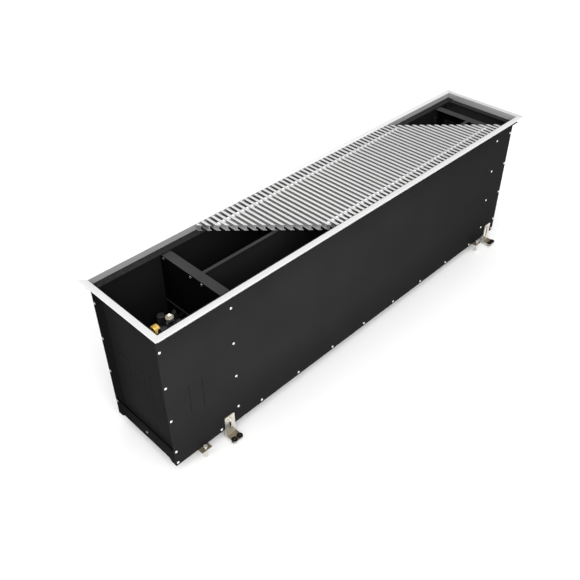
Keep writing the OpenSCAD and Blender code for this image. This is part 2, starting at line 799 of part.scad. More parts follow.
module exchanger_return_bends() {
    color("#b8683c") {
        for (p = [tube_places[0], tube_places[1]])
            translate([x_bend_right, p[0], p[1] - tube_pitch_z / 2]) rotate([90, 0, 0])
                bend(tube_pitch_z);
        translate([x_bend_left, coil_y, z_coil - tube_pitch_z / 2])
            rotate([-atan2(tube_stagger, tube_pitch_y), 0, 0])
                mirror([1, 0, 0]) bend(norm([tube_pitch_y, tube_stagger]));
    }
}

module exchanger_end_sheets() {
    sheet_gap = fin_pitch / 2;
    color("#9a9a9a") {
        translate([x_fin_left - sheet_gap - end_sheet_t, 0, 0])
            tube_plate(fin_w, fin_h, end_sheet_t);
        translate([x_fin_left + (fin_count - 1) * fin_pitch + fin_t + sheet_gap, 0, 0])
            tube_plate(fin_w, fin_h, end_sheet_t);
    }
}

// Shelves under the fin pack, each with a leg riveted to the rear panel
module exchanger_brackets() {
    color("#2e2e2e") difference() {
        for (x = shelf_x) {
            block(x - shelf_w / 2, x + shelf_w / 2, coil_y - fin_w / 2, y_rear - sheet_t,
                z_shelf - sheet_t, z_shelf);
            block(x - shelf_w / 2, x + shelf_w / 2, y_rear - 2 * sheet_t, y_rear - sheet_t,
                z_shelf - shelf_leg_h, z_shelf);
        }
        for (p = shelf_rivet_places) mirror([0, 1, 0]) at_front(p) rivet_hole(rivet_grip);
    }
}

// Valve body along x with an upright neck and spindle; its tail holds the union nut
module valve_body(place, neck_l) {
    bore_d = tube_d - 2 * tube_wall;
    tail_d = bore_d + 2 * cap_wall;
    translate([x_valve, place[0], place[1]]) {
        difference() {
            union() {
                translate([-valve_left_l, 0, 0]) rotate([0, 90, 0])
                    cylinder(d = valve_body_d, h = valve_left_l + valve_right_l);
                cylinder(d = neck_d, h = valve_body_d / 2 + neck_l);
                translate([-valve_left_l - union_l + union_bore_l + gap, 0, 0])
                    rotate([0, 90, 0]) {
                        cylinder(d = tail_d, h = union_l - union_bore_l - gap + over);
                        cylinder(r = collar_r, h = collar_l);
                    }
            }
            translate([-valve_left_l - union_l - over, 0, 0]) rotate([0, 90, 0])
                cylinder(d = bore_d, h = valve_left_l + valve_right_l + union_l + 2 * over);
        }
        translate([0, 0, valve_body_d / 2 + neck_l]) cylinder(d = spindle_d, h = spindle_l);
    }
}

module supply_valve_body() {
    color("#7d838c") valve_body(tube_places[0], supply_neck_l);
}

module return_valve_body() {
    color("#7d838c") valve_body(tube_places[1], return_neck_l);
}

// Cap that turns on the spindle, a gap above the neck: the child is its outside
module valve_cap(place, neck_l) {
    translate([x_valve, place[0], place[1] + valve_body_d / 2 + neck_l + gap]) difference() {
        children();
        translate([0, 0, -over]) cylinder(d = spindle_d + play, h = over + spindle_l);
    }
}

module supply_valve_cap() {
    color("#1b1b1b") valve_cap(tube_places[0], supply_neck_l) difference() {
        cylinder(d = supply_cap_d, h = supply_cap_h);
        for (i = [0:cap_flutes - 1])
            rotate([0, 0, i * 360 / cap_flutes]) translate([supply_cap_d / 2, 0, -over])
                cylinder(d = cap_flute_d, h = supply_cap_h + 2 * over);
    }
}

// Metal cap with a wide head over a narrower skirt, and a slot across the head
module return_valve_cap() {
    skirt_h = return_cap_h - return_head_h;
    color("#d9d6cf") valve_cap(tube_places[1], return_neck_l) difference() {
        union() {
            cylinder(d = return_skirt_d, h = skirt_h + return_head_h / 2);
            translate([0, 0, skirt_h]) cylinder(d = return_cap_d, h = return_head_h);
        }
        translate([-return_cap_d / 4, -cap_slot_w / 2, return_cap_h - cap_slot_d])
            cube([return_cap_d / 2, cap_slot_w, cap_slot_d + over]);
    }
}

// Union nut at a valve's left end, its threaded mouth facing the left end plate
module union_nut(place) {
    seat_d = tube_d - 2 * tube_wall + 2 * cap_wall + 2 * play;
    translate([x_valve_mouth - union_l, place[0], place[1]]) rotate([0, 90, 0]) difference() {
        intersection() {
            cylinder(d = union_af / cos(30), h = union_l, $fn = 6);
            cylinder(d = union_round_d, h = union_l);
        }
        translate([0, 0, -over]) cylinder(r = union_bore_r, h = union_bore_l + over);
        translate([0, 0, -over])
            cylinder(r = collar_r + play, h = union_bore_l + gap + collar_l + over);
        translate([0, 0, -over]) cylinder(d = seat_d, h = union_l + 2 * over);
    }
}

module supply_union_nut() {
    color("#d9a63c") union_nut(tube_places[0]);
}

module return_union_nut() {
    color("#d9a63c") union_nut(tube_places[1]);
}

// Coupling nut that joins a valve to its copper tube
module coupling(place) {
    translate([x_valve_end, place[0], place[1]]) rotate([0, 90, 0]) difference() {
        cylinder(d = coupling_af / cos(30), h = coupling_l, $fn = 6);
        translate([0, 0, coupling_l / 2]) cylinder(d = coupling_bore_d, h = coupling_l);
        translate([0, 0, -over]) cylinder(d = tube_d - 2 * tube_wall, h = coupling_l);
    }
}

module supply_coupling() {
    color("#8d9197") coupling(tube_places[0]);
}

module return_coupling() {
    color("#8d9197") coupling(tube_places[1]);
}

// Air vent standing on the supply tube beside the partition
module air_vent_body() {
    color("#6f6f6f") translate([x_vent, y_supply, z_tube_top]) difference() {
        cylinder(d = vent_d, h = vent_h);
        rotate([0, 90, 0]) translate([0, 0, -vent_d])
            cylinder(d = tube_d + play, h = 2 * vent_d);
        translate([0, 0, vent_h - vent_screw_h])
            cylinder(d = vent_screw_d + 2 * bolt_play, h = vent_screw_h + over);
    }
}

module air_vent_screw() {
    color("#c79a3a") translate([x_vent, y_supply, z_tube_top + vent_h - vent_screw_h]) difference() {
        translate([0, 0, gap]) cylinder(d = vent_screw_d, h = 2 * vent_screw_h);
        translate([-vent_screw_d, -cap_slot_w / 4, 2 * vent_screw_h + gap - cap_slot_d])
            cube([2 * vent_screw_d, cap_slot_w / 2, cap_slot_d + over]);
    }
}

module side_rivets() {
    color("#e9e9e9") {
        for (rear = [false, true], p = side_rivet_places) on_side(rear) at_front(p) rivet(rivet_grip);
        for (p = end_column_places) at_front(p) rivet(rivet_grip);
        for (p = shelf_rivet_places) mirror([0, 1, 0]) at_front(p) rivet(rivet_grip);
    }
}

module end_rivets() {
    color("#c8c8c8") for (right = [false, true]) on_end(right) {
        for (z = column_z)
            translate([x_left, wrap_rivet_y, z]) rotate([0, -90, 0]) rivet(rivet_grip);
        translate([x_left, strip_rivet_y, strip_rivet_z]) rotate([0, -90, 0]) rivet(rivet_grip);
    }
}

// Rivets through the partitions, and those under the levelling tabs
module partition_rivets() {
    color("#e0e0e0") {
        for (y = part_rivet_ys) {
            reach = abs(y) < part_corner_y ? rivet_grip : sheet_t;
            translate([x_lpart, y, part_rivet_z]) rotate([0, -90, 0]) rivet(reach);
            translate([x_rpart, y, part_rivet_z]) rotate([0, 90, 0]) rivet(reach);
        }
        for (rear = [false, true], x = tab_places, s = [-1, 1]) on_side(rear)
            translate([x + s * tab_rivet_x, y_front + tab_rivet_y, z_edge - tab_t])
                rotate([180, 0, 0]) rivet(tab_t + sheet_t);
    }
}

module levelling_tabs() {
    color("#c4bdb0") for (rear = [false, true], x = tab_places) on_side(rear) difference() {
        block(x - tab_w / 2, x + tab_w / 2, y_front - tab_reach, y_front + foot_flange_w,
            z_edge - tab_t, z_edge);
        translate([x, y_front - level_bolt_y, z_edge - tab_t - over])
            cylinder(d = bolt_d + 2 * bolt_play, h = tab_t + 2 * over);
        for (s = [-1, 1])
            translate([x + s * tab_rivet_x, y_front + tab_rivet_y, z_edge - tab_t - over])
                cylinder(d = rivet_d + 2 * play, h = tab_t + 2 * over);
    }
}

// Nuts welded under the levelling tabs
module levelling_nuts() {
    color("#cfcac0") for (rear = [false, true], x = tab_places) on_side(rear)
        translate([x, y_front - level_bolt_y, z_edge - tab_t - nut_h]) difference() {
            cylinder(d = nut_af / cos(30), h = nut_h, $fn = 6);
            translate([0, 0, -over]) cylinder(d = bolt_d + 2 * bolt_play, h = nut_h + 2 * over);
        }
}

// Levelling bolt standing on the sub-floor
module levelling_bolt(x, rear) {
    color("#d6d2c8") on_side(rear) translate([x, y_front - level_bolt_y, 0]) {
        cylinder(d = bolt_d, h = level_bolt_l);
        translate([0, 0, level_bolt_l]) cylinder(d = nut_af / cos(30), h = head_h, $fn = 6);
    }
}

module front_left_levelling_bolt() {
    levelling_bolt(tab_places[0], false);
}

module front_right_levelling_bolt() {
    levelling_bolt(tab_places[1], false);
}

module rear_left_levelling_bolt() {
    levelling_bolt(tab_places[0], true);
}

module rear_right_levelling_bolt() {
    levelling_bolt(tab_places[1], true);
}

// Plate outline from x = -w / 2 and y = 0, whose two far corners are round
module round_plate(w, h, r) {
    translate([-w / 2, 0]) square([w, h - r]);
    translate([-w / 2 + r, 0]) square([w - 2 * r, h]);
    for (s = [-1, 1]) translate([s * (w / 2 - r), h - r]) circle(r);
}

// Floor bracket: slotted upright leg, bend and foot leg with two holes
module bracket(x, rear) {
    y_back = y_front - gap;
    z_slot = bracket_z + bracket_h - slot_top;
    slot_r = bolt_d / 2 + gap;
    r = bracket_bend_r;
    t = bracket_t;
    on_side(rear) translate([x, y_back, bracket_z]) {
        difference() {
            translate([0, 0, r + t]) rotate([90, 0, 0]) linear_extrude(t)
                round_plate(bracket_w, bracket_h - r - t, bracket_corner_r);
            for (z = [z_slot - slot_r, z_slot - slot_l + slot_r])
                translate([0, over, z - bracket_z]) rotate([90, 0, 0])
                    cylinder(r = slot_r, h = t + 2 * over);
            translate([-slot_r, -t - over, z_slot - slot_l + slot_r - bracket_z])
                cube([2 * slot_r, t + 2 * over, slot_l - 2 * slot_r]);
        }
        translate([-bracket_w / 2, -r - t, r + t]) rotate([0, 90, 0])
            rotate_extrude(angle = 90) translate([r, 0]) square([t, bracket_w]);
        difference() {
            translate([0, -r - t, 0]) rotate([0, 0, 180]) linear_extrude(t)
                round_plate(bracket_w, bracket_reach - gap - r - t, bracket_foot_r);
            for (s = [-1, 1])
                translate([s * bush_pitch / 2, gap - bracket_reach + bush_edge, -over])
                    cylinder(r = bush_stem_r, h = t + 2 * over);
        }
    }
}

module front_left_bracket() {
    color("#d8d4c8") bracket(bracket_places[0], false);
}

module front_right_bracket() {
    color("#d8d4c8") bracket(bracket_places[1], false);
}

module rear_left_bracket() {
    color("#d8d4c8") bracket(bracket_places[0], true);
}

module rear_right_bracket() {
    color("#d8d4c8") bracket(bracket_places[1], true);
}

// Two rubber bushes gripping a bracket's foot leg, each with a screw hole
module bushes(x, rear) {
    color("#161616") on_side(rear) for (s = [-1, 1])
        translate([x + s * bush_pitch / 2, y_front - bracket_reach + bush_edge, bracket_z])
            rotate_extrude() polygon([
                [bush_hole_r, -bush_under], [bush_low_r, -bush_under], [bush_low_r, 0],
                [bush_stem_r - bolt_play, 0], [bush_stem_r - bolt_play, bracket_t],
                [bush_d / 2, bracket_t], [bush_d / 2, bracket_t + bush_h * 0.7],
                [bush_d * 0.4, bracket_t + bush_h], [bush_hole_r, bracket_t + bush_h]]);
}

module front_left_bushes() {
    bushes(bracket_places[0], false);
}

module front_right_bushes() {
    bushes(bracket_places[1], false);
}

module rear_left_bushes() {
    bushes(bracket_places[0], true);
}

module rear_right_bushes() {
    bushes(bracket_places[1], true);
}

// Bolts through the brackets' slots into the nuts inside the side panels
module bracket_bolts() {
    y_washer = y_front - 2 * gap - bracket_t - washer_t;
    color("#d6d2c8") for (rear = [false, true], x = bracket_places) on_side(rear)
        translate([x, y_washer, z_edge + bracket_bolt_z]) {
            rotate([90, 0, 0]) cylinder(d = nut_af / cos(30), h = head_h, $fn = 6);
            rotate([-90, 0, 0])
                cylinder(d = bolt_d, h = y_front - y_washer + sheet_t + nut_h + over);
        }
}

module bracket_washers() {
    y0 = y_front - 2 * gap - bracket_t;
    color("#cfcac0") for (rear = [false, true], x = bracket_places) on_side(rear)
        translate([x, y0, z_edge + bracket_bolt_z]) rotate([90, 0, 0]) difference() {
            cylinder(d = washer_d, h = washer_t);
            translate([0, 0, -over]) cylinder(d = bolt_d + 2 * bolt_play, h = washer_t + 2 * over);
        }
}

module bracket_nuts() {
    color("#cfcac0") for (rear = [false, true], x = bracket_places) on_side(rear)
        translate([x, y_front + sheet_t, z_edge + bracket_bolt_z]) rotate([-90, 0, 0])
            difference() {
                cylinder(d = nut_af / cos(30), h = nut_h, $fn = 6);
                translate([0, 0, -over])
                    cylinder(d = bolt_d + 2 * bolt_play, h = nut_h + 2 * over);
            }
}

front_side_panel();
rear_side_panel();
left_end_plate();
right_end_plate();
bottom_pan();
left_partition();
right_partition();
centre_divider();
frame_front_rail();
frame_rear_rail();
frame_left_rail();
frame_right_rail();
frame_corner_keys();
grille_support_strips();
grille_slats();
grille_spacers();
grille_wires();
exchanger_fins();
exchanger_tubes();
exchanger_return_bends();
exchanger_end_sheets();
exchanger_brackets();
supply_valve_body();
supply_valve_cap();
supply_union_nut();
supply_coupling();
return_valve_body();
return_valve_cap();
return_union_nut();
return_coupling();
air_vent_body();
air_vent_screw();
side_rivets();
end_rivets();
partition_rivets();
levelling_tabs();
levelling_nuts();
front_left_levelling_bolt();
front_right_levelling_bolt();
rear_left_levelling_bolt();
rear_right_levelling_bolt();
front_left_bracket();
front_right_bracket();
rear_left_bracket();
rear_right_bracket();
front_left_bushes();
front_right_bushes();
rear_left_bushes();
rear_right_bushes();
bracket_bolts();
bracket_washers();
bracket_nuts();
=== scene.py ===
import math

import bpy
import numpy as np
from mathutils import Matrix, Vector


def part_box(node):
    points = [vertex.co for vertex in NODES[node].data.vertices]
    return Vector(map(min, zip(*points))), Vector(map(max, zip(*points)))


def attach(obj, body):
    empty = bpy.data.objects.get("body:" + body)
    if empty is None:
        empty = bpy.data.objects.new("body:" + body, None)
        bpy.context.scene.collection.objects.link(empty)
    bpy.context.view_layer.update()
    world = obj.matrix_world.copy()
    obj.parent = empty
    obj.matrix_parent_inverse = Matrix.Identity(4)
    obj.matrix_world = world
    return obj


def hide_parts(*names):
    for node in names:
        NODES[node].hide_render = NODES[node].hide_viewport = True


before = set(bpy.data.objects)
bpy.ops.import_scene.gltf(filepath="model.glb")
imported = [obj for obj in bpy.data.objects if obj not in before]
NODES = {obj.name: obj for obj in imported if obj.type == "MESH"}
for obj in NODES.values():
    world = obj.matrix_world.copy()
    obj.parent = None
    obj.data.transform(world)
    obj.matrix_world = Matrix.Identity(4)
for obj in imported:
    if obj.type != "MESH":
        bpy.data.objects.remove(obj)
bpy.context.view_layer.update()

bl_info = {
    "name": "Trench Convector Heater",
    "version": (1, 0, 0),
    "blender": (4, 5, 0),
    "location": "3D View > Sidebar > Trench Heater",
    "description": "Finishes and fine pieces of a deep trench heater with a slatted floor grille",
    "category": "Object",
}

FRAME_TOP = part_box("frame_front_rail")[1].z
FINISHES = {}
FULL_TURN = 2 * math.pi
# Width of the photograph in pixels
PHOTO_WIDTH = 580
CORNERS = ("front_left", "front_right", "rear_left", "rear_right")
# Gap between a bolt or spindle and the hole round it, twice as much round wires and tubes
CLEARANCE = 0.00005
# Heights between which the painted light on faces that look up sets in, only near the top
TOP_LIGHT_LOW, TOP_LIGHT_HIGH = 0.41, 0.44


# User settings


def length(name, description, default):
    """A length in metres for the sidebar."""
    return bpy.props.FloatProperty(name=name, description=description, unit="LENGTH", default=default,
                                   precision=5)


def places(name, description, default):
    """Several lengths in metres for the sidebar."""
    return bpy.props.FloatVectorProperty(name=name, description=description, unit="LENGTH",
                                         size=len(default), default=default)


def count(name, description, default):
    """A number of pieces for the sidebar, at least two."""
    return bpy.props.IntProperty(name=name, description=description, default=default, min=2)


def power(name, description, default):
    """The strength of a light for the sidebar."""
    return bpy.props.FloatProperty(name=name, description=description, default=default, min=0)


def swatch(name, description, default):
    """A colour for the sidebar."""
    return bpy.props.FloatVectorProperty(name=name, description=description, subtype="COLOR", size=3,
                                         min=0, max=1, default=default)


def degrees(name, description, default):
    """An angle for the sidebar, its default in degrees."""
    return bpy.props.FloatProperty(name=name, description=description, subtype="ANGLE",
                                   default=math.radians(default))


class HeaterSizes(bpy.types.PropertyGroup):
    """Sizes of the floor frame and its rubber strips"""

    frame_flange: length("Flange width", "Width of the frame's top flange", 0.0165)
    frame_wall: length("Wall", "Thickness of the frame's wall and leg", 0.002)
    frame_thickness: length("Flange thickness", "Thickness of the frame's top flange", 0.0025)
    frame_leg: length("Leg width", "Width of the frame's leg under the grille", 0.0187)
    edge_radius: length("Edge radius", "Radius of the frame's extruded edges", 0.0006)
    mitre_gap: length("Mitre gap", "Half of the fine gap in each mitre", 0.00007)
    strip: length("Strip", "Thickness of the rubber strips and of their lips", 0.0012)
    rib_depth: length("Rib depth", "Depth of the ribs in the rubber strips", 0.0004)


class HeaterGrille(bpy.types.PropertyGroup):
    """Sizes of the slatted grille"""

    reference: length("First place", "Place of a slat from which the others are counted", -0.4012)
    pitch: length("Pitch", "Distance from slat to slat", 0.01685)
    cut_left: length("Left cut", "Place of the left cut on the middle line", -0.2805)
    cut_right: length("Right cut", "Place of the right cut on the middle line", 0.5135)
    reach: length("Reach", "Half the length of a whole slat", 0.1327)
    flange: length("Flange", "Width of a slat's flanges", 0.008)
    flange_thickness: length("Flange thickness", "Thickness of a slat's flanges", 0.002)
    web: length("Web", "Thickness of a slat's web", 0.002)
    height: length("Height", "Height of the grille", 0.017)
    edge_radius: length("Edge radius", "Radius of the slats' edges", 0.0005)
    row: length("Row", "Distance of the two sleeve rows from the middle line", 0.1005)
    sleeve: length("Sleeve", "Outer diameter of a sleeve", 0.011)
    wire: length("Wire", "Diameter of the through wires", 0.004)
    tail: length("Tail", "Length of wire beyond the last slat", 0.004)


class HeaterRivets(bpy.types.PropertyGroup):
    """Sizes and places of the blind rivets"""

    head: length("Head", "Diameter of a rivet's head", 0.008)
    height: length("Head height", "Height of a rivet's head", 0.0019)
    pit: length("Pit", "Diameter of the pit that the broken mandrel leaves", 0.0022)
    shank: length("Shank", "Diameter of a rivet's shank", 0.004)
    grip: length("Grip", "Length of a rivet's shank", 0.003)
    column_low: length("Lowest", "Height of the lowest rivet of a column", 0.0842)
    column_high: length("Highest", "Height of the highest rivet of a column", 0.4268)
    column_count: count("Column count", "Rivets in a column", 4)
    columns: places("Columns", "Places of the partitions' rivet columns", (-0.5158, 0.6425))
    row_reach: length("Row reach", "Distance of the end rivets from the middle", 0.7222)
    row_count: count("Row count", "Rivets along the bottom", 11)
    row_height: length("Row height", "Height of the bottom row", 0.0422)
    half_width: length("Half width", "Distance of the side panels from the middle", 0.125)
    half_length: length("Half length", "Distance of the end faces from the middle", 0.729)
    wrap_y: length("Wrap column", "Sideways place of the rivets on the end faces", 0.1197)
    strip_y: length("Strip rivet", "Sideways place of the rivet in the lower strip", -0.009)
    strip_z: length("Strip height", "Height of the rivet in the lower strip", 0.066)
    shelves: places("Shelves", "Places of the shelf brackets", (-0.4578, 0.06335, 0.5845))
    shelf_spread: length("Shelf spread", "Half the distance between a shelf's two rivets", 0.0075)
    shelf_height: length("Shelf height", "Height of the shelves' rivets", 0.1966)


class HeaterFeet(bpy.types.PropertyGroup):
    """Sizes and places of the levelling bolts and floor brackets"""

    tabs: places("Tabs", "Places of the levelling tabs", (-0.6425, 0.615))
    brackets: places("Brackets", "Places of the floor brackets", (-0.551, 0.6855))
    tab_bolt: length("Levelling bolt", "Distance of the levelling bolts from the middle line", 0.1354)
    bolt: length("Bolt", "Diameter of the bolts", 0.006)
    thread: length("Thread", "Pitch of the bolts' thread", 0.001)
    tip: length("Tip", "How far a levelling bolt narrows at its lower end", 0.0012)
    flats: length("Flats", "Width of the heads and nuts across their flats", 0.00975)
    head: length("Head", "Height of a bolt's head", 0.00396)
    nut: length("Nut", "Height of a nut", 0.0048)
    washer: length("Washer", "Diameter of a washer", 0.012)
    washer_thickness: length("Washer thickness", "Thickness of a washer", 0.0012)
    bracket_bolt_length: length("Bracket bolt", "Length of a bracket's bolt under its head", 0.0121)
    bracket_z: length("Bracket height", "Height of a bracket's underside", 0.007)
    plate: length("Plate", "Thickness of a bracket", 0.003)
    bush: length("Bush", "Diameter of a rubber bush", 0.017)
    bush_under: length("Bush depth", "Depth of a bush under its bracket", 0.003)
    bush_height: length("Bush height", "Height of a bush over its bracket", 0.0035)
    bush_hole: length("Bush hole", "Radius of a bush's screw hole", 0.0026)
    bush_pitch: length("Bush pitch", "Distance between the two bushes", 0.0185)
    bush_y: length("Bush place", "Distance of the bushes from the middle line", 0.1527)
    bush_recess: length("Bush recess", "Depth of the recess round a bush's screw hole", 0.0016)
    sleeve: length("Sleeve", "Wall of the steel sleeve in a bush", 0.0007)


class HeaterValves(bpy.types.PropertyGroup):
    """Sizes and places of the valves in the left compartment"""

    spindle_x: length("Spindles", "Place of the valves' spindles along the heater", -0.5778)
    supply: places("Supply", "Sideways place and height of the supply tube", (0.086, 0.275))
    back: places("Return", "Sideways place and height of the return tube", (0.046, 0.292))
    barrel: length("Barrel", "Diameter of a valve body", 0.022)
    barrel_left: length("Barrel left", "Length of a valve body towards its union", 0.0135)
    barrel_right: length("Barrel right", "Length of a valve body towards its tube", 0.019)
    bore: length("Bore", "Diameter of the water way", 0.013)
    collar: length("Collar", "Thickness of the tail's collar", 0.002)
    tube: length("Tube", "Outer diameter of the copper tubes", 0.015)
    spindle: length("Spindle", "Diameter of a spindle", 0.006)
    spindle_length: length("Spindle length", "Length of a spindle over its neck", 0.008)
    head: length("Cap head", "Height of the return cap's head over its skirt", 0.005)
    skirt: length("Cap skirt", "Diameter of the return cap's skirt", 0.016)
    union_flats: length("Union flats", "Width of a union nut across its flats", 0.030)
    union_round: length("Union round", "Diameter that a union nut's corners are turned down to", 0.0312)
    union_bore: length("Union bore", "Radius of a union nut's threaded mouth", 0.0121)
    union_depth: length("Union depth", "Depth of the threaded mouth", 0.008)
    union_pitch: length("Union thread", "Pitch of a union nut's thread", 0.0018)
    union_seat: length("Union seat", "Radius of the hole behind the thread", 0.0086)
    coupling_flats: length("Coupling flats", "Width of a coupling nut across its flats", 0.024)


class HeaterColours(bpy.types.PropertyGroup):
    """Colours of the heater's finishes"""

    coat: swatch("Powder coat", "Colour of the casing's black powder coat", (0.024, 0.024, 0.0242))
    aluminium: swatch("Frame aluminium", "Colour of the anodised floor frame", (0.68, 0.68, 0.677))
    slats: swatch("Grille aluminium", "Colour of the grille's slats", (0.68, 0.68, 0.677))
    zinc: swatch("Zinc", "Colour of the zinc plated brackets and bolts", (0.72, 0.70, 0.64))
    brass: swatch("Brass", "Colour of the supply's union nut", (1.0, 0.66, 0.17))
    nickel: swatch("Nickel", "Colour of the return valve's cap", (0.62, 0.57, 0.46))
    gunmetal: swatch("Gunmetal", "Colour of the valves' dark plating", (0.090, 0.095, 0.105))
    copper: swatch("Copper", "Colour of the exchanger's tubes", (0.60, 0.27, 0.15))


class HeaterCamera(bpy.types.PropertyGroup):
    """The photograph's camera, worked out from the heater's straight edges"""

    place: bpy.props.FloatVectorProperty(
        name="Place", description="Place of the camera",
        subtype="XYZ", unit="LENGTH", size=3, default=(-1.2933, -1.1062, 1.5159))
    tilt: degrees("Tilt", "Angle of the view from straight down", 52.06)
    roll: degrees("Roll", "Turn of the picture about the view", 0.08)
    turn: degrees("Turn", "Heading of the view from the heater's length", 45.71)
    focal: bpy.props.FloatProperty(
        name="Focal length", description="Focal length in picture widths",
        min=0.5, max=4, default=703.6 / PHOTO_WIDTH)
    shift: bpy.props.FloatVectorProperty(
        name="Shift", description="Shift of the picture in picture widths",
        size=2, default=(-10.0 / PHOTO_WIDTH, -22.4 / PHOTO_WIDTH))


class HeaterStage(bpy.types.PropertyGroup):
    """Sky, floor and lights of the studio"""

    sky: power("Sky", "Strength of the sky all round", 0.50)
    patch: power("Sky patch", "Strength that the bright patch adds at its middle", 1.7)
    patch_way: bpy.props.FloatVectorProperty(
        name="Patch way", description="Direction from the heater to the middle of the bright patch",
        size=3, default=(-0.50, -0.56, 0.86))
    floor: length("Floor", "Half the width of the floor", 60.0)
    key_place: places("Key place", "Place of the broad light", (-1.5, -2.4, 2.2))
    key_target: places("Key target", "Place that the broad light looks at", (-0.5, 0, 0.3))
    key_size: places("Key size", "Width and height of the broad light", (2.0, 1.6))
    key_power: power("Key power", "Power of the broad light", 34)
    spot_place: places("Spot place", "Place of the narrow light over the valves", (-0.62, 0.03, 1.70))
    spot_target: places("Spot target", "Place that the narrow light looks at", (-0.592, 0.060, 0.30))
    spot_angle: degrees("Spot angle", "Angle of the narrow light's beam", 5.4)
    spot_power: power("Spot power", "Power of the narrow light", 60)


# Meshes


def grid_faces(rows, columns, joined, start):
    """Quads between neighbours on a grid of points numbered row by row. Each row closes on itself, and the
    last row joins the first one where joined is true."""
    r, c = np.meshgrid(np.arange(rows if joined else rows - 1), np.arange(columns), indexing="ij")
    r2, c2 = (r + 1) % rows, (c + 1) % columns
    quads = np.stack([r * columns + c, r * columns + c2, r2 * columns + c2, r2 * columns + c], -1)
    return quads.reshape(-1, 4) + start


class Mesh:
    """Collects grids of points and their faces, then becomes one object."""

    def __init__(self):
        self.points = []
        self.faces = []
        self.count = 0

    def grid(self, points, ends="capped"):
        """Adds a grid (rows, columns, 3) whose rows close on themselves, its first and last row capped with
        a face each, joined to each other or left open."""
        rows, columns = points.shape[:2]
        self.points.append(points.reshape(-1, 3))
        self.faces += grid_faces(rows, columns, ends == "joined", self.count).tolist()
        if ends == "capped":
            first = self.count + np.arange(columns)
            self.faces.append(first[::-1].tolist())
            self.faces.append((first + (rows - 1) * columns).tolist())
        self.count += rows * columns
        return self

    def turned(self, points, place, axis="Z", ends="capped"):
        """Adds a shape that was drawn upwards, turned to an axis and put in its place."""
        return self.grid(placed(points, place, axis), ends)

    def object(self, name, finish, body, angle=35):
        """Makes the object with its finish, smooth up to an angle in degrees, riding on a body."""
        data = bpy.data.meshes.new(name)
        data.from_pydata(np.concatenate(self.points).tolist(), [], self.faces)
        data.validate()
        data.shade_smooth()
        data.set_sharp_from_angle(angle=math.radians(angle))
        data.materials.append(FINISHES[finish])
        made = bpy.data.objects.new(name, data)
        bpy.context.scene.collection.objects.link(made)
        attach(made, body)
        return made


# Materials


class Nodes:
    """Short ways to add nodes to a node tree."""

    def __init__(self, tree):
        self.tree = tree

    def feed(self, socket, value):
        """Links a socket to another one, or sets its value."""
        if isinstance(value, bpy.types.NodeSocket):
            self.tree.links.new(value, socket)
        else:
            socket.default_value = value

    def node(self, kind, settings=None, **inputs):
        """Adds a node. Its inputs go by the socket's name, or by i and the socket's number."""
        made = self.tree.nodes.new(kind)
        for key, value in (settings or {}).items():
            setattr(made, key, value)
        for key, value in inputs.items():
            numbered = key[0] == "i" and key[1:].isdigit()
            self.feed(made.inputs[int(key[1:]) if numbered else key.replace("_", " ")], value)
        return made

    def maths(self, operation, first, second):
        return self.node("ShaderNodeMath", {"operation": operation}, i0=first, i1=second).outputs[0]

    def dot(self, first, second):
        made = self.node("ShaderNodeVectorMath", {"operation": "DOT_PRODUCT"}, i0=first, i1=second)
        return made.outputs["Value"]


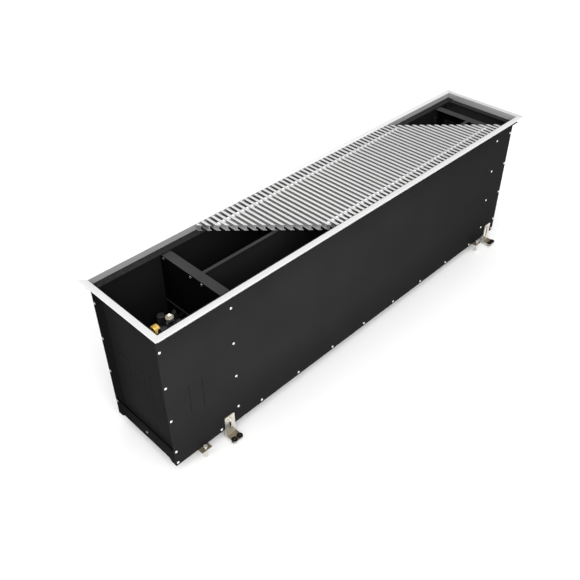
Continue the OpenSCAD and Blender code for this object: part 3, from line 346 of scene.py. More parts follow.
class Finish(Nodes):
    """A material under construction: a Principled shader with nodes that feed it."""

    def __init__(self, name, colour, metallic, roughness, **constant):
        self.material = bpy.data.materials.get(name) or bpy.data.materials.new(name)
        self.material.use_nodes = True
        super().__init__(self.material.node_tree)
        self.tree.nodes.clear()
        out = self.tree.nodes.new("ShaderNodeOutputMaterial")
        self.shader = self.tree.nodes.new("ShaderNodeBsdfPrincipled")
        self.tree.links.new(self.shader.outputs[0], out.inputs["Surface"])
        self.shader.inputs["Base Color"].default_value = tuple(colour) + (1.0,)
        self.shader.inputs["Metallic"].default_value = metallic
        self.shader.inputs["Roughness"].default_value = roughness
        for key, value in constant.items():
            self.shader.inputs[key.replace("_", " ")].default_value = value
        self.material.diffuse_color = tuple(colour) + (1.0,)
        self.place = self.tree.nodes.new("ShaderNodeTexCoord").outputs["Object"]

    def along(self, axis):
        """Place of a point on one of the object's axes."""
        return self.node("ShaderNodeSeparateXYZ", i0=self.place).outputs[axis]

    def noise(self, size, detail=2, scale=(1, 1, 1)):
        """Noise whose spots are about size metres across, stretched by scale."""
        where = self.place
        if scale != (1, 1, 1):
            where = self.node("ShaderNodeMapping", i0=self.place, i3=scale).outputs[0]
        return self.node("ShaderNodeTexNoise", Vector=where, Scale=1 / size, Detail=detail).outputs[0]

    def cells(self, size):
        """Distance to the nearest of points about size metres apart."""
        return self.node("ShaderNodeTexVoronoi", Vector=self.place, Scale=1 / size).outputs[0]

    def ramp(self, value, low, high, to_low=0.0, to_high=1.0):
        """Smooth step from one number to another while the value goes from low to high."""
        made = self.node("ShaderNodeMapRange", {"interpolation_type": "SMOOTHSTEP"}, Value=value)
        for key, number in zip(("From Min", "From Max", "To Min", "To Max"), (low, high, to_low, to_high)):
            made.inputs[key].default_value = number
        return made.outputs[0]

    def spread(self, noise, to_low=0.0, to_high=1.0):
        """Noise stretched to run from one number to another, as its values lie in the middle."""
        return self.ramp(noise, 0.3, 0.7, to_low, to_high)

    def mix(self, factor, first, second):
        """The first colour where the factor is nought, the second where it is one."""
        made = self.node("ShaderNodeMix", {"data_type": "RGBA"})
        for index, value in ((0, factor), (6, first), (7, second)):
            if not isinstance(value, (bpy.types.NodeSocket, int, float)):
                value = tuple(value)[:3] + (1.0,)
            self.feed(made.inputs[index], value)
        return made.outputs[2]

    def scaled(self, colour, share):
        """A colour times a number that changes from place to place."""
        return self.node("ShaderNodeVectorMath", {"operation": "SCALE"}, i0=colour, Scale=share).outputs[0]

    def edges(self, radius):
        """One on edges sharper than the radius, nought on flat faces."""
        hard = self.node("ShaderNodeNewGeometry").outputs["True Normal"]
        return self.ramp(self.dot(self.rounded(radius), hard), 0.97, 0.80)

    def rounded(self, radius):
        """Normals as if the edges were rounded off."""
        return self.node("ShaderNodeBevel", {"samples": 4}, Radius=radius).outputs[0]

    def facing_up(self):
        """One on faces that look up, nought on faces that look sideways or down."""
        normal = self.node("ShaderNodeNewGeometry").outputs["Normal"]
        return self.ramp(self.node("ShaderNodeSeparateXYZ", i0=normal).outputs["Z"], 0.35, 0.75)

    def facing_along(self):
        """One on faces that look along the heater either way, nought on the others."""
        normal = self.node("ShaderNodeNewGeometry").outputs["Normal"]
        along = self.node("ShaderNodeSeparateXYZ", i0=normal).outputs["X"]
        return self.ramp(self.maths("ABSOLUTE", along, 0.0), 0.5, 0.9)

    def bump(self, height, strength, distance, normal=None):
        """Gives the surface a fine relief, over edges that a normal may round off."""
        made = self.node("ShaderNodeBump", Height=height, Strength=strength, Distance=distance)
        if normal is not None:
            self.tree.links.new(normal, made.inputs["Normal"])
        self.tree.links.new(made.outputs[0], self.shader.inputs["Normal"])

    def set(self, socket, value):
        """Feeds one of the shader's sockets from a node."""
        self.tree.links.new(value, self.shader.inputs[socket])


def shade(colour, factor):
    """A colour times a factor, at most one in each part."""
    return tuple(min(1.0, c * factor) for c in colour)


def powder_coat(name, colour, up=1.0, ends=1.0, fades=(), gloss=0.008):
    """Satin powder coat: orange peel, faint clouds, fine dust, and paler edges that are partly wear and
    partly painted highlight. Faces near the top that look up have the colour times up, as painted light that
    reaches only the top, and faces that look along the heater have the colour times ends, as painted shade. A
    fade is an axis, the two places on it between which the colour changes, and the share it changes to; a
    fade is painted shade, or painted light where the share is over one."""
    f = Finish(name, colour, 0.0, 0.55, Specular_IOR_Level=gloss)
    clouds = f.noise(0.16, 3)
    fine = f.noise(0.0011, 2)
    body = f.mix(f.spread(clouds), shade(colour, 0.95), shade(colour, 1.07))
    dust = f.ramp(f.noise(0.0006, 1), 0.68, 0.80, 0, 0.25)
    body = f.mix(dust, body, shade(colour, 1.7))
    # Paler edges: partly wear, partly painted highlight
    wear_and_edge_highlight = f.maths("MULTIPLY", f.edges(0.0009), f.ramp(f.noise(0.012, 4), 0.38, 0.66, 0.15, 0.75))
    body = f.mix(wear_and_edge_highlight, body, shade(colour, 2.4))
    # Painted shade: faces that look along the heater are darker
    if ends != 1:
        painted_end_shade = f.mix(f.spread(clouds), shade(colour, ends * 0.88), shade(colour, ends * 1.12))
        body = f.mix(f.facing_along(), body, painted_end_shade)
    # Painted shade along or down the face, and painted light where a share is over one
    if fades:
        share = 1.0
        for axis, start, end, falls_to in fades:
            share = f.maths("MULTIPLY", f.ramp(f.along(axis), start, end, 1, falls_to), share)
        body = f.scaled(body, share)
    # Painted light: faces that look up near the top are paler, as only there the light reaches
    if up != 1:
        painted_top_light = f.mix(f.spread(clouds), shade(colour, up * 0.92), shade(colour, up * 1.08))
        high = f.ramp(f.along("Z"), TOP_LIGHT_LOW, TOP_LIGHT_HIGH)
        body = f.mix(f.maths("MULTIPLY", f.facing_up(), high), body, painted_top_light)
    f.set("Base Color", body)
    f.set("Roughness", f.spread(fine, 0.45, 0.56))
    f.bump(fine, 0.16, 0.0004, f.rounded(0.0008))
    return f.material


def anodised(name, colour, along, metallic, roughness=0.42, sides=1.0, fade=None, deep=None):
    """Satin anodised aluminium: fine lines along the extrusion, soft patches, bright edges; faces that
    look sideways have the colour times sides, as painted shade beside the lit top.
    A fade is the two places along the heater between which the colour falls, and the share it falls to,
    as painted shade. Deep is a height, under which all faces take the painted side shade, and a distance
    from the middle line, past which that painted shade is darker by half, deep in the grille's gaps."""
    stretch = {"X": (0.012, 1, 1), "Y": (1, 0.012, 1)}[along]
    f = Finish(name, colour, metallic, roughness, Anisotropic=0.25)
    lines = f.noise(0.0009, 3, stretch)
    coarse = f.noise(0.004, 2, stretch)
    patches = f.noise(0.09, 2)
    body = f.mix(f.spread(lines), shade(colour, 0.93), shade(colour, 1.03))
    body = f.mix(f.ramp(patches, 0.35, 0.7, 0, 0.35), body, shade(colour, 0.94))
    # Painted shade: the colour falls along the heater
    if fade:
        start, end, share = fade
        body = f.mix(f.ramp(f.along("X"), start, end), body, shade(colour, share))
    # Painted shade: faces that look sideways are darker than the lit top, darker still deep in the gaps and
    # near the ends
    if sides < 1:
        top, painted_shade = f.facing_up(), shade(colour, sides)
        if deep:
            height, distance = deep
            top = f.maths("MULTIPLY", top, f.ramp(f.along("Z"), height, height + 0.002))
            aside = f.ramp(f.maths("ABSOLUTE", f.along("Y"), 0.0), distance, distance + 0.006)
            painted_shade = f.mix(aside, painted_shade, shade(colour, sides / 2))
        body = f.mix(top, painted_shade, body)
    f.set("Base Color", f.mix(f.edges(0.0005), body, shade(colour, 1.08)))
    f.set("Roughness", f.spread(coarse, roughness - 0.05, roughness + 0.07))
    f.bump(lines, 0.10, 0.0002, f.rounded(0.0004))
    return f.material


def zinc_plate(name, colour, brown=0.0, roughness=0.22, metallic=0.85):
    """Zinc plated steel: cool and warm patches of passivation, rolling marks, scuffed edges. Brown is how far
    faces that look up have the dull brown of thick passivation, where the bath pooled."""
    f = Finish(name, colour, metallic, roughness)
    patches = f.noise(0.011, 4)
    warm = f.ramp(f.noise(0.018, 3), 0.42, 0.68)
    tint = (colour[0] * 1.02, colour[1] * 0.99, colour[2] * 0.92)
    body = f.mix(f.spread(patches), shade(colour, 0.92), shade(colour, 1.06))
    body = f.mix(warm, body, tint)
    body = f.mix(f.edges(0.0006), body, shade(colour, 1.2))
    if brown:
        up = f.maths("MULTIPLY", f.facing_up(), brown)
        body = f.mix(up, body, (colour[0] * 0.26, colour[1] * 0.22, colour[2] * 0.165))
        f.set("Metallic", f.ramp(up, 0, 1, metallic, 0.25))
    f.set("Base Color", body)
    f.set("Roughness", f.spread(f.noise(0.003, 3), roughness * 0.8, roughness * 1.25))
    f.bump(f.noise(0.0012, 3), 0.08, 0.0002, f.rounded(0.0005))
    return f.material


def rubber(name, colour):
    """Moulded black rubber: matt, with a fine grain and a paler bloom."""
    f = Finish(name, colour, 0.0, 0.72, Specular_IOR_Level=0.12)
    bloom = f.ramp(f.noise(0.010, 3), 0.42, 0.72, 0, 0.5)
    f.set("Base Color", f.mix(bloom, colour, shade(colour, 1.9)))
    f.set("Roughness", f.spread(f.noise(0.0022, 2), 0.64, 0.82))
    f.bump(f.noise(0.0007, 3), 0.3, 0.0003, f.rounded(0.0005))
    return f.material


def bare_brass(name, colour):
    """Turned brass: ring marks, thin darker tarnish and bright edges."""
    f = Finish(name, colour, 0.35, 0.28)
    tarnish = f.ramp(f.noise(0.009, 4), 0.45, 0.72, 0, 0.4)
    body = f.mix(tarnish, colour, (colour[0] * 0.80, colour[1] * 0.70, colour[2] * 0.55))
    f.set("Base Color", f.mix(f.edges(0.0006), body, shade(colour, 1.2)))
    f.set("Roughness", f.spread(f.noise(0.002, 3, (6, 1, 1)), 0.18, 0.36))
    f.bump(f.noise(0.0008, 2, (8, 1, 1)), 0.10, 0.0002, f.rounded(0.0005))
    return f.material


def nickel_plate(name, colour, metallic):
    """Matt nickel plating over a forging: even, with a soft grain and slight clouds."""
    f = Finish(name, colour, metallic, 0.28)
    clouds = f.ramp(f.noise(0.014, 3), 0.35, 0.7)
    body = f.mix(clouds, shade(colour, 0.86), shade(colour, 1.1))
    f.set("Base Color", f.mix(f.edges(0.0006), body, shade(colour, 1.25)))
    f.set("Roughness", f.spread(f.noise(0.0016, 3), 0.24, 0.40))
    f.bump(f.noise(0.0009, 3), 0.16, 0.0002, f.rounded(0.0005))
    return f.material


def drawn_copper(name, colour, black_to):
    """Drawn copper tube: long draw lines and brown oxide patches, lacquered black up to black_to."""
    f = Finish(name, colour, 1.0, 0.30, Specular_IOR_Level=0.05)
    oxide = f.ramp(f.noise(0.022, 4), 0.4, 0.7, 0, 0.75)
    lines = f.noise(0.0008, 2, (0.03, 1, 1))
    body = f.mix(oxide, colour, (colour[0] * 0.55, colour[1] * 0.5, colour[2] * 0.55))
    body = f.mix(f.ramp(lines, 0.45, 0.75, 0, 0.4), body, shade(colour, 1.2))
    lacquer = f.ramp(f.along("X"), black_to, black_to + 0.002, 1, 0)
    f.set("Base Color", f.mix(lacquer, body, (0.008, 0.008, 0.008)))
    f.set("Metallic", f.maths("SUBTRACT", 1.0, lacquer))
    f.set("Roughness", f.ramp(oxide, 0, 0.75, 0.24, 0.46))
    f.bump(lines, 0.08, 0.0002)
    return f.material


def moulded_plastic(name, colour):
    """Injection moulded black plastic: spark-eroded grain and slightly shiny edges."""
    f = Finish(name, colour, 0.0, 0.46, Specular_IOR_Level=0.2)
    f.set("Base Color", f.mix(f.ramp(f.noise(0.006, 3), 0.35, 0.7), shade(colour, 0.85), shade(colour, 1.3)))
    f.set("Roughness", f.ramp(f.cells(0.0006), 0.1, 0.7, 0.40, 0.56))
    f.bump(f.cells(0.0006), 0.22, 0.0002, f.rounded(0.0005))
    return f.material


def rolled_fin(name, colour):
    """Thin fin stock: rolling lines across the fin and a soft oily stain."""
    f = Finish(name, colour, 1.0, 0.32)
    lines = f.noise(0.001, 3, (1, 1, 0.02))
    stain = f.ramp(f.noise(0.035, 3), 0.4, 0.7, 0, 0.5)
    body = f.mix(f.spread(lines), shade(colour, 0.88), shade(colour, 1.06))
    f.set("Base Color", f.mix(stain, body, (colour[0] * 0.8, colour[1] * 0.78, colour[2] * 0.74)))
    f.set("Roughness", f.spread(lines, 0.26, 0.42))
    f.bump(lines, 0.12, 0.0002)
    return f.material


def make_finishes():
    """All finishes by name, in the colours that the sidebar sets."""
    c = bpy.context.scene.heater_colours
    return {
        # One powder coat: the end, far, rear and inside copies' brightness, and the fades, ends and up, are
        # painted shade and painted light for how light falls on each panel
        "coat": powder_coat("black_powder_coat", shade(c.coat, 0.89), fades=(
            ("X", -0.3, 0.9, 0.56), ("Z", 0.21, 0.05, 0.70), ("Z", 0.38, 0.43, 0.92))),
        "end_coat": powder_coat("black_powder_coat_end", shade(c.coat, 0.50), gloss=0.003, fades=(
            ("Y", -0.02, 0.12, 0.3), ("Z", 0.14, 0.10, 0.42), ("Z", 0.090, 0.078, 1.6))),
        "far_coat": powder_coat("black_powder_coat_far", shade(c.coat, 1.1)),
        "rear_coat": powder_coat("black_powder_coat_rear", shade(c.coat, 0.46), ends=0.14, gloss=0.003),
        "inner_coat": powder_coat("black_powder_coat_inside", shade(c.coat, 0.7), up=2.7, ends=0.17),
        # One anodised aluminium for the four rails: each rail's brightness, the rear rail's fade and the
        # sideways faces' darkness are painted light and painted shade
        "frame_front": anodised("anodised_frame_front", shade(c.aluminium, 1.08), "X", 0.2),
        "frame_rear": anodised("anodised_frame_rear", shade(c.aluminium, 1.38), "X", 0.15, sides=0.36,
                               fade=(-0.2, 0.6, 0.84)),
        "frame_left": anodised("anodised_frame_left", shade(c.aluminium, 1.10), "Y", 0.2),
        "frame_right": anodised("anodised_frame_right", shade(c.aluminium, 1.04), "Y", 0.3, sides=0.66),
        # Painted light: the sleeves' paler copy of the grille aluminium; painted shade: the slats' sides,
        # deep and fade
        "slats": anodised("anodised_slats", shade(c.slats, 1.12), "Y", 0.25, 0.34, 0.55,
                          fade=(-0.1, 0.5, 0.80), deep=(FRAME_TOP - 0.004, 0.104)),
        "sleeves": anodised("anodised_sleeves", shade(c.slats, 1.40), "X", 0.1, 0.30),
        "zinc": zinc_plate("zinc_plated_steel", shade(c.zinc, 0.78), roughness=0.3, metallic=0.4),
        "bracket_zinc": zinc_plate("zinc_plated_brackets", c.zinc, brown=1.0),
        "tab_zinc": zinc_plate("zinc_plated_tabs", shade(c.zinc, 0.95), brown=1.0, roughness=0.3,
                               metallic=0.4),
        "dull_zinc": zinc_plate("zinc_plated_sleeves", shade(c.zinc, 0.12)),
        "rubber": rubber("black_rubber", (0.016, 0.016, 0.016)),
        "bush": rubber("black_bush_rubber", (0.003, 0.003, 0.003)),
        "brass": bare_brass("turned_brass", c.brass),
        "gunmetal": nickel_plate("dark_plated_brass", shade(c.gunmetal, 0.55), 0.4),
        "cap_nickel": nickel_plate("nickel_cap", shade(c.nickel, 0.95), 0.5),
        "copper": drawn_copper("drawn_copper", c.copper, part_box("exchanger_end_sheets")[0].x),
        "plastic": moulded_plastic("black_plastic", (0.016, 0.016, 0.017)),
        "fins": rolled_fin("fin_stock", (0.70, 0.71, 0.72)),
        "wire": zinc_plate("drawn_wire", (0.62, 0.62, 0.62)),
        "rivets": zinc_plate("rivet_aluminium", (0.82, 0.82, 0.81)),
        # The end, wrap and inside rivets are darker copies of the rivet aluminium, as painted shade
        "end_rivets": zinc_plate("rivet_aluminium_end", (0.24, 0.24, 0.24)),
        "wrap_rivets": zinc_plate("rivet_aluminium_painted_shade", (0.42, 0.42, 0.42)),
        "inner_rivets": zinc_plate("rivet_aluminium_inside", (0.42, 0.42, 0.42)),
    }


FINISH_OF = {
    "coat": ["front_side_panel"],
    "end_coat": ["left_end_plate"],
    "far_coat": ["right_end_plate"],
    "rear_coat": ["rear_side_panel"],
    "inner_coat": ["bottom_pan", "left_partition", "right_partition", "centre_divider",
                   "exchanger_brackets"],
    "frame_front": ["frame_front_rail", "frame_corner_keys"],
    "frame_rear": ["frame_rear_rail"],
    "frame_left": ["frame_left_rail"],
    "frame_right": ["frame_right_rail"],
    "slats": ["grille_slats"],
    "sleeves": ["grille_spacers"],
    "wire": ["grille_wires"],
    "rubber": ["grille_support_strips", *[f"{corner}_bushes" for corner in CORNERS]],
    "copper": ["exchanger_tubes", "exchanger_return_bends"],
    "fins": ["exchanger_fins", "exchanger_end_sheets"],
    "gunmetal": ["supply_valve_body", "return_valve_body", "supply_coupling", "return_coupling",
                 "air_vent_body", "air_vent_screw", "return_union_nut"],
    "cap_nickel": ["return_valve_cap"],
    "brass": ["supply_union_nut"],
    "plastic": ["supply_valve_cap"],
    "rivets": ["side_rivets"],
    "end_rivets": ["end_rivets"],
    "inner_rivets": ["partition_rivets"],
    "tab_zinc": ["levelling_tabs"],
    "bracket_zinc": [f"{corner}_bracket" for corner in CORNERS],
    "zinc": ["levelling_nuts", *[f"{corner}_levelling_bolt" for corner in CORNERS], "bracket_bolts",
             "bracket_washers", "bracket_nuts"],
}


class HEATER_OT_finishes(bpy.types.Operator):
    """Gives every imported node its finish"""

    bl_idname = "heater.finishes"
    bl_label = "Finishes"

    def execute(self, context):
        FINISHES.update(make_finishes())
        for finish, names in FINISH_OF.items():
            for name in names:
                data = NODES[name].data
                if not data.materials:
                    data.materials.append(None)
                for i in range(len(data.materials)):
                    data.materials[i] = FINISHES[finish]
        return {"FINISHED"}


# Shapes


def angles(steps):
    """Even angles over a full turn."""
    return np.linspace(0, FULL_TURN, steps, endpoint=False)


def around(r, t, h):
    """Points (r cos t, r sin t, h) for the radii r, angles t and heights h of a grid."""
    return np.stack([r * np.cos(t), r * np.sin(t), h + 0 * t], -1)


def ring(profile, steps=32):
    """Turned shape: each radius and height of the profile, carried round over a full turn."""
    r, h = np.asarray(profile, float).T[:, :, None]
    return around(r, angles(steps), h)


TURNS = {
    "Z": [[1, 0, 0], [0, 1, 0], [0, 0, 1]],
    "X": [[0, 0, 1], [1, 0, 0], [0, 1, 0]], "-X": [[0, 0, -1], [0, 1, 0], [1, 0, 0]],
    "Y": [[0, 1, 0], [0, 0, 1], [1, 0, 0]], "-Y": [[1, 0, 0], [0, 0, -1], [0, 1, 0]],
}


def placed(points, origin, axis="Z"):
    """A shape drawn upwards from the origin, turned so that up points along the axis, then moved."""
    return points @ np.array(TURNS[axis], float).T + np.asarray(origin, float)


def dome(radius, height, pit, pit_depth):
    """Profile of a rivet head: a circle's arc from the rim to the pit, then the pit's wall and floor."""
    sphere = (radius ** 2 + height ** 2) / (2 * height)
    r = np.linspace(radius, pit, 7)
    h = np.sqrt(sphere ** 2 - r ** 2) - (sphere - height)
    floor = h[-1] - pit_depth
    return [[radius, 0.0], *np.stack([r, h], 1).tolist(), [pit * 0.86, floor], [pit * 0.3, floor]]


def hexagon(t, flats):
    """Radius of a hexagon of the given width across flats at angle t."""
    fold = np.mod(t + math.pi / 6, math.pi / 3) - math.pi / 6
    return flats / 2 / np.cos(fold)


def hex_solid(flats, height, both=False, hole=0.0, across=1.0):
    """Hexagon with its corners turned off: the radius is the smallest of the hexagon's, half of across and a
    cone's that starts at the flats on the top face, or on both, and widens by 1.7 for each unit of depth.
    A hole makes it a nut, whose last row joins its first."""
    t, cut, edge = angles(48), flats * 0.045, flats / 2 * 0.97
    low = [0.0, cut * 0.5, cut] if both else [0.0]
    high = [height - cut * 1.4, height - cut, height - cut * 0.7, height - cut * 0.35, height]
    h = np.array(low + high)[:, None]
    cone = edge + 1.7 * (height - h)
    if both:
        cone = np.minimum(cone, edge + 1.7 * h)
    outside = around(np.minimum(np.minimum(hexagon(t, flats), across / 2), cone), t, h)
    if not hole:
        return outside
    lip = hole * 0.08
    inside = ring([[hole + lip, height], [hole, height - lip], [hole, lip], [hole + lip, 0]], 48)
    return np.concatenate([outside, inside])


def thread_wave(h, t, pitch):
    """Triangle wave between nought and one of (height / pitch - angle / full turn)."""
    return np.abs(np.mod(h / pitch - t / FULL_TURN, 1) * 2 - 1)


def threaded(radius, length, pitch, point=0.0):
    """Screw thread: the radius falls by the thread's wave times half the pitch, and the first 1.2 pitches
    taper towards a tip that is narrower by point."""
    h = np.linspace(0, length, int(length / pitch * 6) + 1)[:, None]
    t = angles(20)
    r = radius - pitch * 0.5 * thread_wave(h, t, pitch)
    r = np.minimum(r, radius - point * np.clip(1 - h / (pitch * 1.2), 0, 1))
    return around(r, t, h)


def corner_arcs(corners, radii, steps):
    """Closed outline with each corner replaced by an arc: points on the quadratic curve through the two
    tangent points with the corner as its control point."""
    p = np.asarray(corners, float)
    back, ahead = np.roll(p, 1, 0) - p, np.roll(p, -1, 0) - p
    back /= np.linalg.norm(back, axis=1, keepdims=True)
    ahead /= np.linalg.norm(ahead, axis=1, keepdims=True)
    r = np.asarray(radii, float)[:, None]
    a, b = p + back * r, p + ahead * r
    s = np.linspace(0, 1, steps)[None, :, None]
    arc = (1 - s) ** 2 * a[:, None] + 2 * s * (1 - s) * p[:, None] + s ** 2 * b[:, None]
    return arc.reshape(-1, 2)


# Floor frame


def rail(half_length, half_width, leg, side):
    """Mitred rail: the profile (inset, height) carried along the rail, each point starting and ending
    as far from the corner as its own inset, so that two rails meet on the diagonal."""
    s = bpy.context.scene.heater_sizes
    w, wall, t, r = s.frame_flange, s.frame_wall, s.frame_thickness, s.edge_radius
    top, low = FRAME_TOP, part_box("frame_front_rail")[0].z
    if leg:
        corners = [[0, top], [0, top - t], [w - wall, top - t], [w - wall, low],
                   [w + leg, low], [w + leg, low + wall], [w, low + wall], [w, top]]
        radii = [r, r * 0.8, r * 1.5, r, r, r, r * 0.6, r]
    else:
        corners = [[0, top], [0, top - t], [w - wall, top - t], [w - wall, low], [w, low], [w, top]]
        radii = [r, r * 0.8, r * 1.5, r * 0.5, r * 0.5, r]
    outline = corner_arcs(corners, radii, 4)
    inset = np.minimum(outline[:, 0], w) + s.mitre_gap
    along = np.stack([-half_length + inset, half_length - inset])
    across = -half_width + outline[:, 0]
    c, d = {"front": (1, 0), "right": (0, 1), "rear": (-1, 0), "left": (0, -1)}[side]
    points = np.broadcast_arrays(c * along - d * across, d * along + c * across, outline[:, 1])
    return Mesh().grid(np.stack(points, -1))


class HEATER_OT_frame(bpy.types.Operator):
    """Makes the four mitred rails with their rounded edges"""

    bl_idname = "heater.frame"
    bl_label = "Floor frame"

    def execute(self, context):
        lo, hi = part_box("frame_front_rail")
        leg = hi.y - lo.y - context.scene.heater_sizes.frame_flange
        for side in ("front", "rear", "left", "right"):
            long = side in ("front", "rear")
            half_length, half_width = (hi.x, -lo.y) if long else (-lo.y, hi.x)
            mesh = rail(half_length, half_width, leg if long else 0, side)
            made = mesh.object(f"{side}_rail", f"frame_{side}", "base", 50)
            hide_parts(f"frame_{side}_rail")
        return {"FINISHED"}


# Grille


def slat_places():
    """Places of the slats along the heater: a row at even pitch between the two slanted cuts."""
    g = bpy.context.scene.heater_grille
    first = math.ceil((g.cut_left - g.reach + g.pitch / 2 - g.reference) / g.pitch)
    last = math.floor((g.cut_right + g.reach - g.pitch / 2 - g.reference) / g.pitch)
    return g.reference + g.pitch * np.arange(first, last + 1)


def slat_ends(x):
    """Front and rear end of a slat's edge at x: the frame's inside, or the cut that runs at 45 degrees."""
    g = bpy.context.scene.heater_grille
    return np.maximum(-g.reach, g.cut_left - x), np.minimum(g.reach, g.cut_right - x)


def row_slats(y):
    """Slats long enough to be held by the spacer row at y."""
    g = bpy.context.scene.heater_grille
    x = slat_places()
    low, high = slat_ends(x)
    return x[(low + g.flange < y) & (high - g.flange > y)]


class HEATER_OT_slats(bpy.types.Operator):
    """Makes the grille's slats: an I-section with soft edges, cut off on the slant"""

    bl_idname = "heater.slats"
    bl_label = "Grille slats"

    def execute(self, context):
        g = context.scene.heater_grille
        top = FRAME_TOP
        w, web, t, r = g.flange / 2, g.web / 2, g.flange_thickness, g.edge_radius
        bottom = top - g.height
        left = [[-w, top], [-w, top - t], [-web, top - t], [-web, bottom + t], [-w, bottom + t], [-w, bottom]]
        corners = left + [[-x, z] for x, z in reversed(left)]
        radii = [r, r * 0.6, r, r, r * 0.6, r, r, r * 0.6, r, r, r * 0.6, r]
        outline = corner_arcs(corners, radii, 3)
        mesh = Mesh()
        for x in slat_places():
            across = x + outline[:, 0]
            low, high = slat_ends(across)
            points = np.stack([np.stack([across, high, outline[:, 1]], -1),
                               np.stack([across, low, outline[:, 1]], -1)])
            mesh.grid(points)
        made = mesh.object("grille_bars", "slats", "grille", 40)
        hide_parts("grille_slats")
        return {"FINISHED"}


class HEATER_OT_sleeves(bpy.types.Operator):
    """Makes the turned spacer sleeves and the wires with their peened ends"""

    bl_idname = "heater.sleeves"
    bl_label = "Grille sleeves"

    def execute(self, context):
        g = context.scene.heater_grille
        z = FRAME_TOP - g.height / 2
        length = g.pitch - g.web
        r, c, bore = g.sleeve / 2, g.sleeve * 0.07, g.wire / 2 + 2 * CLEARANCE
        waist = r - c * 0.5
        profile = [[r - c, 0], [r, c], [r, length * 0.42], [waist, length * 0.45], [waist, length * 0.55],
                   [r, length * 0.58], [r, length - c], [r - c, length], [bore, length], [bore, 0]]
        sleeve = ring(profile, 20)
        w = g.wire / 2
        sleeves, wires = Mesh(), Mesh()
        for y in (-g.row, g.row):
            held = row_slats(y)
            for x in held[:-1]:
                sleeves.turned(sleeve, (x + g.web / 2, y, z), "X", "joined")
            start, end = held[0] - g.web / 2 - g.tail, held[-1] + g.web / 2 + g.tail
            span = end - start
            wire = [[w * 0.5, 0], [w * 0.9, w * 0.2], [w, w * 0.5], [w, span - w * 0.5],
                    [w * 0.9, span - w * 0.2], [w * 0.5, span]]
            wires.turned(ring(wire, 20), (start, y, z), "X")
        made = sleeves.object("grille_sleeves", "sleeves", "grille")
        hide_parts("grille_spacers")
        made = wires.object("grille_rods", "wire", "grille")
        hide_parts("grille_wires")
        return {"FINISHED"}


class HEATER_OT_strips(bpy.types.Operator):
    """Makes the ribbed rubber strips that the grille rests on, each with a lip over the leg's inner edge"""

    bl_idname = "heater.strips"
    bl_label = "Support strips"

    def execute(self, context):
        s = context.scene.heater_sizes
        lo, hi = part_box("grille_support_strips")
        leg = lo.y + s.frame_leg
        inner = leg + s.strip
        under = hi.z - s.strip
        v = np.linspace(0, 1, 61)
        ribs = hi.z - s.rib_depth * (0.5 - 0.5 * np.cos(FULL_TURN * v * 6))
        y = lo.y + (leg - lo.y) * v
        lip = [[inner, hi.z - s.strip / 2], [inner, lo.z], [leg, lo.z], [leg, under], [lo.y, under]]
        outline = np.concatenate([np.stack([y, ribs], 1), lip])
        mesh = Mesh()
        for side in (1, -1):
            ends = np.array([hi.x, lo.x])[::side, None]
            points = np.stack(np.broadcast_arrays(ends, side * outline[:, 0], outline[:, 1]), -1)
            mesh.grid(points)
        made = mesh.object("ribbed_strips", "rubber", "base", 60)
        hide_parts("grille_support_strips")
        return {"FINISHED"}


# Rivets and bolts


def feet(along):
    """Corner, place along the heater and side of each of the four feet, which stand in two pairs."""
    return [(f"{side}_{end}", x, sign) for end, x in zip(("left", "right"), along)
            for side, sign in (("front", -1), ("rear", 1))]


class HEATER_OT_rivets(bpy.types.Operator):
    """Makes every blind rivet with its domed head and the pit of its broken mandrel"""

    bl_idname = "heater.rivets"
    bl_label = "Rivets"

    def execute(self, context):
        r = context.scene.heater_rivets
        head = ring(dome(r.head / 2, r.height, r.pit / 2, r.height * 0.5), 20)
        shank = ring([[r.shank / 2, -r.grip], [r.shank / 2, 0.0]], 12)
        columns = np.linspace(r.column_low, r.column_high, r.column_count)
        row = np.linspace(-r.row_reach, r.row_reach, r.row_count)

        def rivet(mesh, place, axis):
            mesh.turned(head, place, axis).turned(shank, place, axis)

        mesh = Mesh()
        for x, z in [(x, z) for x in r.columns for z in columns] + [(x, r.row_height) for x in row]:
            rivet(mesh, (x, -r.half_width, z), "-Y")
            rivet(mesh, (x, r.half_width, z), "Y")
        for x in (-r.row_reach, r.row_reach):
            for z in columns:
                rivet(mesh, (x, -r.half_width, z), "-Y")
        for x in r.shelves:
            for d in (-r.shelf_spread, r.shelf_spread):
                rivet(mesh, (x + d, r.half_width, r.shelf_height), "Y")
        made = mesh.object("side_rivet_heads", "rivets", "base", 40)
        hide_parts("side_rivets")

        # Painted shade: the strip and wrap rivets on the end faces take darker copies of the rivet finish
        mesh, painted_shade = Mesh(), Mesh()
        for side, axis in ((-1, "-X"), (1, "X")):
            for z in columns:
                rivet(painted_shade, (side * r.half_length, r.wrap_y, z), axis)
            rivet(mesh, (side * r.half_length, r.strip_y, r.strip_z), axis)
        made = mesh.object("end_rivet_heads", "end_rivets", "base", 40)
        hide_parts("end_rivets")
        made = painted_shade.object("wrap_rivet_heads", "wrap_rivets", "base", 40)
        return {"FINISHED"}


class HEATER_OT_levelling(bpy.types.Operator):
    """Makes the threaded levelling bolts and the nuts under their tabs"""

    bl_idname = "heater.levelling"
    bl_label = "Levelling bolts"

    def execute(self, context):
        f = context.scene.heater_feet
        low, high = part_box("levelling_nuts")
        nut = hex_solid(f.flats, high.z - low.z, True, f.bolt / 2 + CLEARANCE)
        nuts = Mesh()
        for corner, x, sign in feet(f.tabs):
            node = f"{corner}_levelling_bolt"
            lo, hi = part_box(node)
            y = sign * f.tab_bolt
            length = hi.z - f.head
            mesh = Mesh().turned(threaded(f.bolt / 2, length, f.thread, f.tip), (x, y, lo.z))
            mesh.turned(hex_solid(f.flats, f.head), (x, y, length))
            made = mesh.object(f"{corner}_levelling_screw", "zinc", f"{corner}_bolt", 32)
            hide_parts(node)
            nuts.turned(nut, (x, y, low.z), ends="joined")
        made = nuts.object("welded_nuts", "zinc", "base", 32)
        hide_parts("levelling_nuts")
        return {"FINISHED"}


